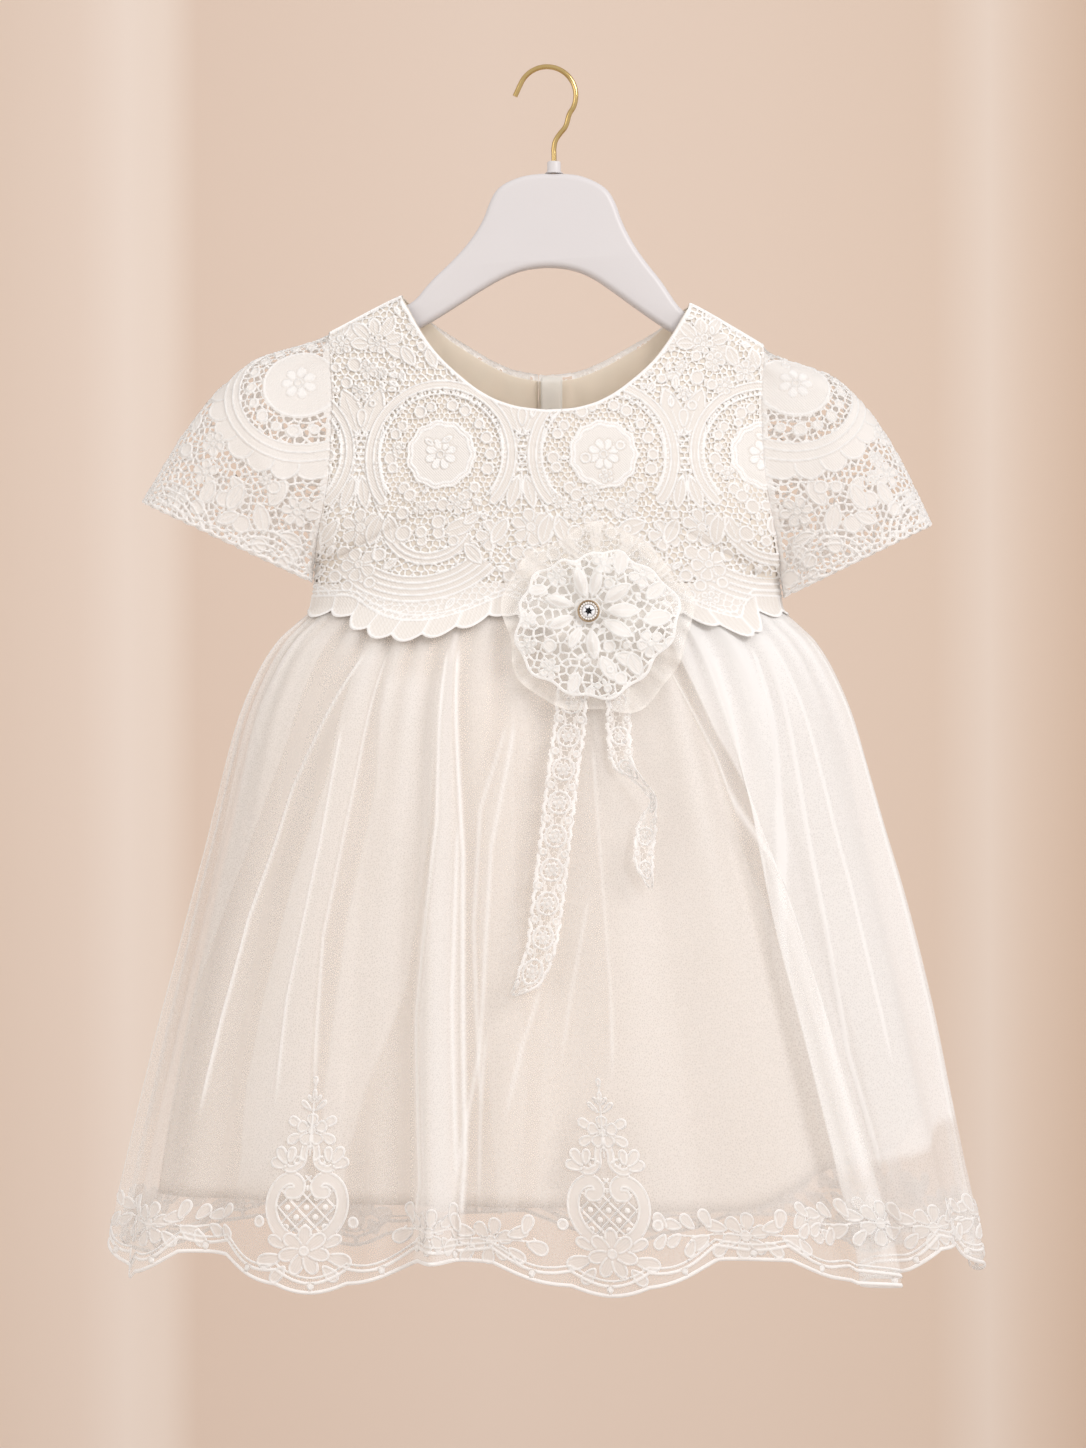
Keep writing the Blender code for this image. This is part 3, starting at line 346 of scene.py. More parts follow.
# %% Satin
def satin_finish(name, colour, warm, through=0.2):
    finish, tree, shader = new_finish(name, colour, 0.42, Sheen_Weight=0.2, Specular_IOR_Level=0.35)
    flat = node(tree, "UVMap", uv_map="flat").outputs["UV"]
    blend_colour(tree, noise(tree, flat, 18.0, 1.0), warm, colour, shader.inputs["Base Color"])
    yarns = node(tree, "TexWave", wave_type="BANDS", bands_direction="X", Scale=900.0,
                 Distortion=0.6)
    tree.links.new(flat, yarns.inputs["Vector"])
    raise_ridges(tree, shader, yarns.outputs["Fac"], 0.00003)
    let_light_through(tree, shader, colour, through)
    return finish


LINING_SATIN = satin_finish("lining_satin", (0.92, 0.85, 0.765), (0.91, 0.83, 0.73))
SKIRT_SATIN = satin_finish("skirt_satin", (0.93, 0.855, 0.79), (0.90, 0.82, 0.74))
# The back lining is the front's satin painted lighter, as painted light inside the neck; it also
# lets more light through.
BACK_LINING_SATIN_PAINTED_LIGHTER = satin_finish("back_lining_satin_painted_lighter", (1.0, 0.96, 0.885), (1.0, 0.93, 0.83), 0.55)
PLACKET_SATIN = satin_finish("placket_satin", (1.0, 0.99, 0.96), (1.0, 0.98, 0.94), 0.5)


# %% Net
def net_finish(name, colour, cover, cell=1.15):
    """Fine net; cover is the share of light that the yarn stops on plain ground."""
    finish, tree, shader = new_finish(name, colour, 0.8, Sheen_Weight=0.3)
    flat = node(tree, "UVMap", uv_map="flat").outputs["UV"]
    mesh_cells = node(tree, "TexVoronoi", feature="DISTANCE_TO_EDGE", Scale=1000.0 / cell,
                      Randomness=0.8)
    tree.links.new(flat, mesh_cells.inputs["Vector"])
    yarn = node(tree, "MapRange", From_Min=0.04, From_Max=0.24, To_Min=0.06, To_Max=-0.06)
    tree.links.new(mesh_cells.outputs["Distance"], yarn.inputs["Value"])
    # The net's density, with painted light and shade added on the skirt, sets how much it covers.
    net_density_and_painted_light = node(tree, "Attribute", attribute_name="net_density_and_painted_light").outputs["Fac"]
    plain = node(tree, "Math", operation="ADD")
    plain.inputs[1].default_value = cover
    tree.links.new(yarn.outputs["Result"], plain.inputs[0])
    total = node(tree, "Math", operation="ADD", use_clamp=True)
    tree.links.new(plain.outputs[0], total.inputs[0])
    tree.links.new(net_density_and_painted_light, total.inputs[1])
    let_light_through(tree, shader, colour, 0.25)
    cloth = tree.nodes["Material Output"].inputs["Surface"].links[0].from_socket
    open_air, shown = node(tree, "BsdfTransparent"), node(tree, "MixShader")
    tree.links.new(total.outputs[0], shown.inputs["Fac"])
    tree.links.new(open_air.outputs[0], shown.inputs[1])
    tree.links.new(cloth, shown.inputs[2])
    tree.links.new(shown.outputs[0], tree.nodes["Material Output"].inputs["Surface"])
    return finish


SKIRT_NET = net_finish("skirt_net", (0.965, 0.95, 0.935), 0.19)
# The ruffle's net is tinted warmer than the skirt's, as painted warm shade where it shows through
# the flower.
RUFFLE_NET = net_finish("ruffle_net", (0.985, 0.95, 0.905), 0.24, 1.0)

# %% Plastic, gold, pearl and crystal
def speckled_finish(name, colour, rough, low, high, scale, metal=0.0, **sockets):
    """Hard finish whose colour wanders a little between low and high."""
    finish, tree, shader = new_finish(name, colour, rough, metal, **sockets)
    place = node(tree, "TexCoord").outputs["Object"]
    blend_colour(tree, noise(tree, place, scale), low, high, shader.inputs["Base Color"])
    return finish


PLASTIC = speckled_finish("hanger_plastic", (0.66, 0.63, 0.63), 0.36, (0.64, 0.61, 0.615),
                          (0.68, 0.65, 0.65), 14.0, Specular_IOR_Level=0.4)
GOLD = speckled_finish("gold_wire", (0.60, 0.43, 0.19), 0.18, (0.55, 0.38, 0.15),
                       (0.65, 0.48, 0.22), 260.0, 1.0)
BRONZE = speckled_finish("button_metal", (0.46, 0.34, 0.22), 0.3, (0.42, 0.30, 0.18),
                         (0.50, 0.38, 0.26), 260.0, 1.0)
PEARL = speckled_finish("pearl", (0.88, 0.84, 0.79), 0.2, (0.86, 0.80, 0.74),
                        (0.91, 0.88, 0.85), 300.0, Coat_Weight=0.6)
CRYSTAL = speckled_finish("crystal", (0.82, 0.83, 0.86), 0.03, (0.75, 0.76, 0.80),
                          (0.95, 0.95, 0.96), 500.0, Coat_Weight=1.0)
# A near-black finish for the star laid on the crystal, as a painted dark reflection.
PAINTED_DARK_REFLECTION = speckled_finish("crystal_painted_dark_reflection", (0.012, 0.012, 0.014), 0.45, (0.008, 0.008, 0.01),
                             (0.025, 0.025, 0.03), 900.0, Specular_IOR_Level=0.15)
tree = PLASTIC.node_tree
grain = noise(tree, tree.nodes["Texture Coordinate"].outputs["Object"], 900.0)
raise_ridges(tree, tree.nodes["Principled BSDF"], grain, 0.00002)
print("finishes:", len(bpy.data.materials))

# %% [markdown]
# ## Camera, light and backdrop
# The dress hangs at eye height in front of a plain warm wall. The camera stands two
# metres off and looks straight at it. One large soft light stands high on the right,
# and the air itself is bright, so the shadows stay pale.

# %% Camera
camera = bpy.data.objects.new("camera", bpy.data.cameras.new("camera"))
bpy.context.scene.collection.objects.link(camera)
HALF_VIEW = math.radians(10.8)
camera.data.sensor_width = 36
camera.data.lens = 18 / math.tan(HALF_VIEW)
camera.location = (-0.0021, -2.0, -0.345)
camera.rotation_euler = (math.radians(90), 0, 0)
bpy.context.scene.camera = camera

# %% Light
world = bpy.data.worlds.new("studio")
bpy.context.scene.world = world
world.use_nodes = True
world.node_tree.nodes["Background"].inputs["Color"].default_value = (1.0, 0.975, 0.965, 1)
world.node_tree.nodes["Background"].inputs["Strength"].default_value = 0.81


def soft_light(name, location, target, size, power, colour):
    data = bpy.data.lights.new(name, "AREA")
    data.shape, data.size, data.energy, data.color = "SQUARE", size, power, colour
    light = bpy.data.objects.new(name, data)
    bpy.context.scene.collection.objects.link(light)
    light.location = location
    light.visible_camera = False
    aim = Vector(target) - Vector(location)
    light.rotation_mode = "QUATERNION"
    light.rotation_quaternion = aim.to_track_quat("-Z", "Y")


soft_light("key", (1.5, -1.6, 0.9), (0, 0, -0.35), 0.9, 28, (1.0, 0.985, 0.985))
soft_light("fill", (-1.6, -1.5, 0.2), (0, 0, -0.4), 1.4, 9, (1.0, 0.95, 0.89))
soft_light("wall_wash", (0.2, 0.3, 0.5), (0.15, 3.6, 0.1), 1.6, 24, (1.0, 0.985, 0.975))
bpy.context.scene.view_settings.view_transform = "Standard"

# %% Wall and floor
wall_finish, tree, shader = new_finish("wall_paint", (0.72, 0.57, 0.47), 0.95)
place = node(tree, "TexCoord").outputs["Object"]
split = node(tree, "SeparateXYZ")
tree.links.new(place, split.inputs[0])
bands = node(tree, "ValToRGB")
across_wall = node(tree, "MapRange", From_Min=-0.8, From_Max=0.8)
tree.links.new(split.outputs["X"], across_wall.inputs["Value"])
tree.links.new(across_wall.outputs["Result"], bands.inputs["Fac"])
BANDS = [(0.0, 0.715, 0.58, 0.485), (0.07, 0.75, 0.62, 0.53), (0.115, 0.80, 0.69, 0.61),
         (0.15, 0.78, 0.665, 0.58), (0.18, 0.70, 0.56, 0.465), (0.45, 0.73, 0.60, 0.51),
         (0.70, 0.72, 0.585, 0.49), (0.86, 0.70, 0.56, 0.46), (0.91, 0.76, 0.645, 0.56),
         (0.95, 0.70, 0.56, 0.46), (1.0, 0.63, 0.48, 0.375)]
while len(bands.color_ramp.elements) < len(BANDS):
    bands.color_ramp.elements.new(0.5)
for stop, (at, red, green, blue) in zip(bands.color_ramp.elements, BANDS):
    stop.position, stop.color = at, (red, green, blue, 1)
tree.links.new(bands.outputs["Color"], shader.inputs["Base Color"])


def plane(name, size_x, size_y, finish, turn_x, location):
    work = bmesh.new()
    bmesh.ops.create_grid(work, x_segments=1, y_segments=1, size=0.5)
    bmesh.ops.scale(work, vec=(size_x, size_y, 1), verts=work.verts[:])
    bmesh.ops.rotate(work, cent=(0, 0, 0), verts=work.verts[:],
                     matrix=Matrix.Rotation(math.radians(turn_x), 3, "X"))
    bmesh.ops.translate(work, vec=location, verts=work.verts[:])
    mesh = mesh_from(work, name)
    mesh.materials.append(finish)
    piece = bpy.data.objects.new(name, mesh)
    bpy.context.scene.collection.objects.link(piece)


plane("wall", 14, 12, wall_finish, 90, (0, 3.6, 0))
floor_finish = speckled_finish("floor_paint", (0.78, 0.70, 0.63), 0.9, (0.76, 0.68, 0.61),
                               (0.80, 0.72, 0.65), 3.0)
plane("floor", 14, 14, floor_finish, 0, (0, 0, -3.4))

# %% [markdown]
# ## A kit for lace
# Guipure lace is embroidered on a cloth that is then dissolved: what is left is yarn,
# packed into petals and rings and tied by thin bars. It could be thousands of little
# tubes, but they would never sit in one another as yarn does. Here a flat pattern keeps
# two numbers for every spot of a fine grid: how deep the spot lies inside the yarn, and
# how high the yarn stands. Shapes are laid on one another as an embroiderer lays them.
# Cells outside the yarn are then deleted, and the corners along an edge are drawn onto
# it, so a coarse grid still gives a clean outline.

# %% The flat pattern
EVERYWHERE = (slice(None), slice(None))
OUTSIDE = -4.0        # depth of a spot far from any yarn


class LacePattern:
    def __init__(self, left, right, bottom, top, pitch):
        self.pitch = pitch
        self.across = left + pitch * np.arange(int((right - left) / pitch) + 2)
        self.up = bottom + pitch * np.arange(int((top - bottom) / pitch) + 2)
        self.x, self.y = np.meshgrid(self.across, self.up)
        self.depth = np.full(self.x.shape, OUTSIDE)
        self.relief = np.zeros_like(self.depth)

    def window(self, left, right, bottom, top, margin=1.6):
        at = tuple(slice(*np.searchsorted(line, (low - margin, high + margin)))
                   for line, low, high in ((self.up, bottom, top), (self.across, left, right)))
        return at, self.x[at], self.y[at]

    def window_round(self, cx, cy, reach, margin=1.6):
        return self.window(cx - reach, cx + reach, cy - reach, cy + reach, margin)

    def lay(self, at, depth, relief, on_top=False):
        """Adds yarn; on_top hides what lies under it, as a later shape does."""
        self.depth[at] = np.maximum(self.depth[at], depth)
        height = relief if on_top else np.maximum(self.relief[at], relief)
        self.relief[at] = np.where(depth > 0, height, self.relief[at])

    def ridge(self, depth, half, rise, at=EVERYWHERE):
        """Rounded cord, where depth says how far inside it each spot lies."""
        self.lay(at, depth, rise * np.sqrt(np.clip(depth / half, 0, 1)))

    def cut(self, depth):
        self.depth = np.minimum(self.depth, -depth)
        self.relief = np.where(depth > 0, 0, self.relief)

    def trim(self, *limits):
        """Keeps only what lies inside the cut piece."""
        self.depth = np.minimum.reduce([self.depth, *limits])

    def solid(self, at, depth, rise=0.85, edge=0.9, body=0.3, ribs=0.0):
        """Packed yarn with a raised cord round it, and a dip round the cord, whose low relief also
        paints it creamy as painted shade.
        """
        # The dip is real relief, and it is also a painted shade outline, as low relief takes the
        # creamy colour.
        beside = (depth > -0.55) & (depth <= 0)
        self.relief[at] = np.where(beside, np.minimum(self.relief[at], 0.1), self.relief[at])
        cord = rise * np.exp(-((depth - 0.48 * edge) / (0.42 * edge)) ** 2)
        filling = (body + ribs) * np.clip(depth / edge, 0, 1)
        self.lay(at, depth, np.maximum(cord, filling), True)

    def cord(self, points, width=1.0, rise=0.8):
        for (x0, y0), (x1, y1) in zip(points, points[1:]):
            at, x, y = self.window(min(x0, x1) - width, max(x0, x1) + width,
                                   min(y0, y1) - width, max(y0, y1) + width, 0.5)
            if x.size:
                far = distance_to(x, y, x0, y0, x1, y1)
                round_top = np.sqrt(np.clip(1 - (2 * far / width) ** 2, 0, 1))
                self.lay(at, width / 2 - far, rise * round_top)

    def band(self, points, width, rise=0.9, edge=1.05, body=0.24):
        xs, ys = [p[0] for p in points], [p[1] for p in points]
        at, x, y = self.window(min(xs) - width, max(xs) + width,
                               min(ys) - width, max(ys) + width)
        if x.size:
            far = np.full(x.shape, 1e3)
            for (x0, y0), (x1, y1) in zip(points, points[1:]):
                far = np.minimum(far, distance_to(x, y, x0, y0, x1, y1))
            self.solid(at, width / 2 - far, rise, edge, body)

    def disc(self, cx, cy, radius, rise=0.9, edge=1.05, body=0.22):
        at, x, y = self.window_round(cx, cy, radius)
        if x.size:
            self.solid(at, radius - np.hypot(x - cx, y - cy), rise, edge, body)

    def rosette(self, cx, cy, radius):
        """Small ring of cord with a thin filling."""
        self.disc(cx, cy, radius, 0.95, 1.1, 0.16)

    def petal(self, x0, y0, turn, length, width, rise=0.9, edge=1.05, body=0.22):
        """Rounded petal from its root, widest near its tip; turn is from the +x way."""
        at, x, y = self.window_round(x0, y0, length)
        if x.size < 9 or min(x.shape) < 3:
            return
        along, aside = turned_to(x - x0, y - y0, math.radians(turn))
        fat = width / 2 * (0.62 + 0.55 * np.clip(along / length, 0, 1))
        shape = np.hypot((along - length / 2) / (length / 2), aside / fat)
        slope_y, slope_x = np.gradient(shape, self.pitch)
        depth = (1 - shape) / np.maximum(np.hypot(slope_x, slope_y), 1.2 / length)
        self.solid(at, np.minimum(depth, width), rise, edge, body, 0.05 * np.cos(aside * 5))

    def leaf(self, x0, y0, turn, length, width, vein=True):
        """Pointed leaf from its stalk."""
        angle = math.radians(turn)
        radius = (length ** 2 / 4 + width ** 2 / 4) / width
        at, x, y = self.window_round(x0, y0, length)
        if not x.size:
            return
        along, aside = turned_to(x - x0, y - y0, angle)
        along = along - length / 2
        away = radius - width / 2
        depth = radius - np.maximum(np.hypot(along, aside - away), np.hypot(along, aside + away))
        self.solid(at, depth, 0.9, 1.1, 0.22, 0.06 * np.cos(5 * (along + np.abs(aside))))
        if vein:
            self.cord([(x0, y0), on_circle(x0, y0, 0.8 * length, angle)], 0.75, 0.63)

    def stem(self, x0, y0, turn, length, bend, width=0.85):
        """Curved stem; bend is how many degrees it turns on the way."""
        points = [(x0, y0)]
        for k in range(10):
            way = math.radians(turn + bend * (k + 0.5) / 10)
            points.append(on_circle(*points[-1], length / 10, way))
        self.cord(points, width, 0.8)

    def flower(self, cx, cy, radius, petals=5, turn=90, fat=1.0, rise=0.9):
        root, width = 0.2 * radius, fat * 2 * math.pi * radius * 0.62 / petals
        for k in range(petals):
            way = turn + 360 * k / petals
            self.petal(*on_circle(cx, cy, root, math.radians(way)), way, radius - root, width,
                       rise, 1.0)
        self.disc(cx, cy, max(0.24 * radius, 1.1), rise, 0.75, 0.35)

    def motif(self, kind, cx, cy, turn, size, width, flower_turn):
        """One row of a motif table; a flower's turn is its number of petals."""
        if kind == "flower":
            self.flower(cx, cy, size, turn, flower_turn)
        elif kind == "leaf":
            self.leaf(cx, cy, turn, size, width)
        else:
            self.rosette(cx, cy, size)

    def net(self, cell, width, rise, seed, uneven=0.28, inside=4.0):
        """Ties of yarn round cells that are nearly hexagonal, where inside is above 0."""
        x, y = self.x, self.y
        row_step = cell * 0.866
        row = np.round(y / row_step).astype(int)
        rows = range(row.min() - 2, row.max() + 3)
        lean = np.random.default_rng(seed).uniform(-uneven, uneven, (len(rows), 4096, 2)) * cell
        nearest = np.full(x.shape, 1e6)
        second, near_x, near_y, far_x, far_y = (nearest.copy() for _ in range(5))
        for row_move in (-1, 0, 1):
            r = row + row_move
            shift = 0.5 * (r % 2)
            middle = np.round(x / cell - shift).astype(int)
            for move in (-1, 0, 1):
                c = middle + move
                table = lean[r - rows[0], c % 4096]
                seed_x = (c + shift) * cell + table[..., 0]
                seed_y = r * row_step + table[..., 1]
                far = np.hypot(x - seed_x, y - seed_y)
                closer = far < nearest
                between = ~closer & (far < second)
                for kept, near, found in ((far_x, near_x, seed_x), (far_y, near_y, seed_y)):
                    kept[closer] = near[closer]
                    kept[between] = found[between]
                second = np.where(closer, nearest, np.where(between, far, second))
                near_x = np.where(closer, seed_x, near_x)
                near_y = np.where(closer, seed_y, near_y)
                nearest = np.where(closer, far, nearest)
        apart = np.maximum(np.hypot(far_x - near_x, far_y - near_y), 1e-6)
        edge = (second ** 2 - nearest ** 2) / (2 * apart)
        depth = np.minimum(width / 2 - edge, inside)
        round_top = np.sqrt(np.clip(1 - (2 * edge / width) ** 2, 0, 1))
        self.lay(EVERYWHERE, depth, rise * round_top)


def distance_to(x, y, x0, y0, x1, y1):
    run_x, run_y = x1 - x0, y1 - y0
    share = ((x - x0) * run_x + (y - y0) * run_y) / max(run_x ** 2 + run_y ** 2, 1e-9)
    share = np.clip(share, 0, 1)
    return np.hypot(x - x0 - share * run_x, y - y0 - share * run_y)


def turned_to(x, y, angle):
    """The same spots, measured along a way and across it."""
    c, s = math.cos(angle), math.sin(angle)
    return x * c + y * s, y * c - x * s


def on_circle(cx, cy, reach, angle):
    return cx + reach * math.cos(angle), cy + reach * math.sin(angle)


def arc(cx, cy, radius, first, last, count=24):
    return [on_circle(cx, cy, radius, turn)
            for turn in np.radians(np.linspace(first, last, count + 1))]


# %% From the pattern to yarn
def lace_piece(name, pattern, place, finish, solid=None, flip=False):
    """Hangs a pattern by place(across, up, relief), without its empty cells."""
    depth, relief, pitch = pattern.depth, pattern.relief, pattern.pitch
    cell = (depth[:-1, :-1] + depth[1:, :-1] + depth[:-1, 1:] + depth[1:, 1:]) / 4
    kept = cell > 0
    beside = np.zeros((depth.shape[0] + 1, depth.shape[1] + 1), int)
    beside[1:-1, 1:-1] = kept
    around = beside[:-1, :-1] + beside[1:, :-1] + beside[:-1, 1:] + beside[1:, 1:]
    rim = (around > 0) & (around < 4)
    slope_y, slope_x = np.gradient(depth, pitch)
    steep = np.maximum(slope_x ** 2 + slope_y ** 2, 0.16)
    limit = 0.75 * pitch
    move_x = np.where(rim, np.clip(-depth * slope_x / steep, -limit, limit), 0)
    move_y = np.where(rim, np.clip(-depth * slope_y / steep, -limit, limit), 0)
    flat_x, flat_y = (pattern.x + move_x).ravel(), (pattern.y + move_y).ravel()
    height = np.where(rim, 0, relief).ravel()
    # The colour's relief, with its painted light and shade, is spread out to the rim.
    bright = relief      # a cord keeps its white up to its edge
    for axis in (0, 1):
        bright = np.maximum.reduce([bright, np.roll(bright, 1, axis), np.roll(bright, -1, axis)])
    bright = np.where(rim, bright, relief)
    work = bmesh.new()
    bmesh.ops.create_grid(work, x_segments=len(pattern.across) - 1,
                          y_segments=len(pattern.up) - 1, size=1)
    if flip:
        bmesh.ops.reverse_faces(work, faces=work.faces[:])
    mesh = mesh_from(work, name)
    mesh.vertices.foreach_set("co", (np.stack(place(flat_x, flat_y, height), axis=1) * MM).ravel())
    corners = np.zeros(len(mesh.loops), dtype=np.int32)
    mesh.loops.foreach_get("vertex_index", corners)
    flat = np.stack([flat_x, flat_y], axis=1) * MM
    mesh.uv_layers.new(name="flat").data.foreach_set("uv", flat[corners].ravel())
    mesh.attributes.new("relief", "FLOAT", "POINT").data.foreach_set("value", bright.ravel())
    work = bmesh.new()
    work.from_mesh(mesh)
    empty = [face for face, stays in zip(work.faces, kept.ravel()) if not stays]
    bmesh.ops.delete(work, geom=empty, context="FACES")
    work.to_mesh(mesh)
    work.free()
    print(name, "cells kept:", int(kept.sum()), "of", kept.size)
    return keep(name, mesh, finish, solid)


# %% [markdown]
# ## The lace's motifs
# The bodice lace repeats every 85 mm: a round medallion with a daisy, a ring of small
# rosettes and a double band, a tied sheaf between two medallions, and leaves, flowers
# and stitched arcs below. They are ordinary motifs of such lace, drawn here from rules.

# %% Medallion
def daisy(lace, cx, cy, turns, root, width, body):
    for turn in turns:
        lace.petal(*on_circle(cx, cy, root, math.radians(turn)), turn, 6.6, width, 0.9, 1.0, body)
    lace.disc(cx, cy, 2.2, 0.9, 0.8, 0.1)


def medallion(lace, cx, cy, radius=18.0):
    """Woven disc with a daisy, a round of rosettes and a stitched double band."""
    at, x, y = lace.window_round(cx, cy, 44)
    if not x.size:
        return
    far, turn = np.hypot(x - cx, y - cy), np.arctan2(y - cy, x - cx)
    lace.depth[at][far < radius * 1.78] = OUTSIDE
    lace.relief[at][far < radius * 1.78] = 0
    lace.net(3.0, 0.75, 0.5, int(abs(cx)) + 3, 0.22, radius * 1.8
             - np.hypot(lace.x - cx, lace.y - cy))
    wave = 0.5 * np.cos(11 * turn)
    weave = 0.10 * np.cos((x + y) * 4.4) + 0.05 * np.cos((x - y) * 4.4)
    lace.lay(at, radius - far + wave, 0.36 + weave, True)
    for inset, half in ((0.7, 0.65), (2.6, 0.6)):
        lace.ridge(half - np.abs(far - (radius - inset + wave)), half, 0.95, at)
    daisy(lace, cx, cy, [45 * k + 22 for k in range(8)], 1.7, 4.4, 0.5)
    for k in range(18):
        angle = 2 * math.pi * (k + 0.22 * math.sin(3 * k)) / 18
        reach = radius * (1.44 + 0.035 * math.sin(5 * k))
        lace.rosette(*on_circle(cx, cy, reach, angle), 3.15 + 0.3 * math.sin(2.3 * k))
    first, last, ties = -40, 220, 60      # the bands are open below
    for k in range(ties):
        angle = math.radians(first + (last - first) * (k + 0.5) / ties)
        lace.cord([on_circle(cx, cy, radius * share, angle) for share in (1.80, 1.94)], 0.8, 0.7)
    lace.cord(arc(cx, cy, radius * 1.79, first, last, 60), 1.1, 0.95)
    lace.band(arc(cx, cy, radius * 2.07, first, last, 60), 5.0, 0.95, 1.1)
    lace.cord(arc(cx, cy, radius * 2.07, first, last, 60), 0.7, 0.45)


# %% Sheaf, fan, spray and scatter
def sheaf(lace, cx, cy):
    """Stems tied by bars, with two broad leaves above and a fan of stems below."""
    for side in (-1, 1):
        lace.stem(cx + side * 5.5, cy - 10, -90 + side * 8, 26, side * 26, 1.0)
        bend = [(cx + side * (8.6 + 0.012 * dy * dy), cy + dy) for dy in np.linspace(-22, 12, 10)]
        lace.band(bend, 3.6)
        lace.leaf(cx + side * 1.2, cy + 9, 90 - side * 20, 27, 11.5)
        lace.leaf(cx + side * 1.6, cy - 12, -90 + side * 15, 19, 7.0)
        lace.cord([(cx + side * 3.0, cy - 11), (cx + side * 3.0, cy + 10)], 0.9, 0.7)
    lace.stem(cx, cy - 10, -90, 20, 0, 0.9)
    lace.petal(cx, cy + 13, 90, 10, 6)
    for k in range(7):
        lace.cord([(cx - 8.4, cy - 9.6 + 3.1 * k), (cx + 8.4, cy - 9.6 + 3.1 * k)], 1.0, 0.85)


def fan(lace, cx, cy, radius, first, last, rows, step=3.2):
    """Parallel stitched arcs with a thin filling between them."""
    at, x, y = lace.window_round(cx, cy, radius)
    if not x.size:
        return
    far = np.hypot(x - cx, y - cy)
    turn = np.mod(np.degrees(np.arctan2(y - cy, x - cx)), 360)
    span = np.minimum(turn - first, last - turn) * math.pi / 180 * far
    inside = np.minimum.reduce([radius - far, far - radius + step * (rows - 1), span])
    lace.lay(at, inside, 0.18 + 0.08 * np.cos(turn * far / 40), True)
    for k in range(rows):
        lace.cord(arc(cx, cy, radius - step * k, first, last, 30), 1.05, 0.95)


def spray(lace, cx, cy, turn):
    """Flower with leaves round one side of it."""
    for k in range(6):
        way = turn - 100 + 40 * k
        root = on_circle(cx, cy, 4, math.radians(way))
        lace.leaf(*root, way, 14 * (1 - 0.25 * (k % 2)), 7)
    lace.flower(cx, cy, 5.5, 5, turn)


def scatter(lace, left, right, bottom, top, seed, spacing, tries, smallest=2.0):
    """Small flowers, leaves and rosettes wherever only plain net lies."""
    chance = np.random.default_rng(seed)
    for _ in range(tries):
        cx, cy = chance.uniform(left, right), chance.uniform(bottom, top)
        kind, turn, size = chance.uniform(), chance.uniform(0, 360), chance.uniform(0.55, 1.25)
        reach = max(spacing / 2 * size, smallest)
        at, x, y = lace.window_round(cx, cy, reach, 0)
        if not x.size or (lace.relief[at] > 0.7).mean() > 0.05:
            continue
        if kind < 0.35 and reach > 3.2:
            lace.flower(cx, cy, reach * 1.1, 5, turn)
        elif kind < 0.65:
            root = on_circle(cx, cy, -reach, math.radians(turn))
            lace.leaf(*root, turn, 2 * reach, reach * 1.05, reach > 3)
        else:
            lace.rosette(cx, cy, reach * 0.72)


# %% [markdown]
# ## Bodice lace
# The panel is cut to the neck, the shoulder and the side seams, and ends in scallops
# over the waist. Its distance across is measured round the body, so that the motifs
# keep their size where the panel turns to the side.

# %% Where the bodice's lace hangs
LACE_HEM, LACE_DEEP, LACE_PITCH, LACE_DEEP_AT, SMALL_LOBE = -286.5, 13.5, 85.0, -64.0, 12.6
turning = np.linspace(-1, 1, 801)
ring_x, ring_y, _ = bodice_spot(FRONT, turning, np.full(801, -205.0), 2.0)
walked = np.concatenate([[0], np.cumsum(np.hypot(np.diff(ring_x), np.diff(ring_y)))])
walked -= walked[400]
BODICE_HALF = walked[-1]
print("half of the bodice, measured round the body:", round(BODICE_HALF, 1))


def share_across(u):
    return np.interp(u, walked, turning)


def lace_line(u):
    """Where the scalloped border hangs, without its small lobes."""
    x = share_across(u) * 125
    deep = np.abs(np.cos(np.pi * (x - LACE_DEEP_AT) / LACE_PITCH)) ** 1.2
    return LACE_HEM - LACE_DEEP * deep * (1 - ease((np.abs(x) - 92) / 18))


def lace_bottom(u):
    lobe = np.abs(np.sin(np.pi * (u - LACE_DEEP_AT) / SMALL_LOBE))
    return lace_line(u) - 3.3 * lobe ** 0.85 + 0.6


def lace_top(side, u):
    return bodice_top(side, share_across(u) * SHOULDER_HALF, LACE_OFF + 0.5)


def bodice_lace_place(side):
    def place(u, v, relief):
        share = share_across(u)
        flat_side = 1 - 0.62 * ease((np.abs(share) - 0.72) / 0.26)
        out = LACE_OFF + (lace_stand(v) - LACE_OFF) * flat_side
        return bodice_spot(side, share, v, out - 0.1 + relief)
    return place


# %% Cut and edge a bodice panel
def bodice_cut(lace, side, left, right):
    x, y = lace.x, lace.y
    low, high = lace_bottom(lace.across), lace_top(side, lace.across)
    low_slope = np.hypot(1, np.gradient(low, lace.pitch))
    high_slope = np.hypot(1, np.gradient(high, lace.pitch))
    return (y - low) / low_slope, (high - y) / high_slope, x - left, right - x


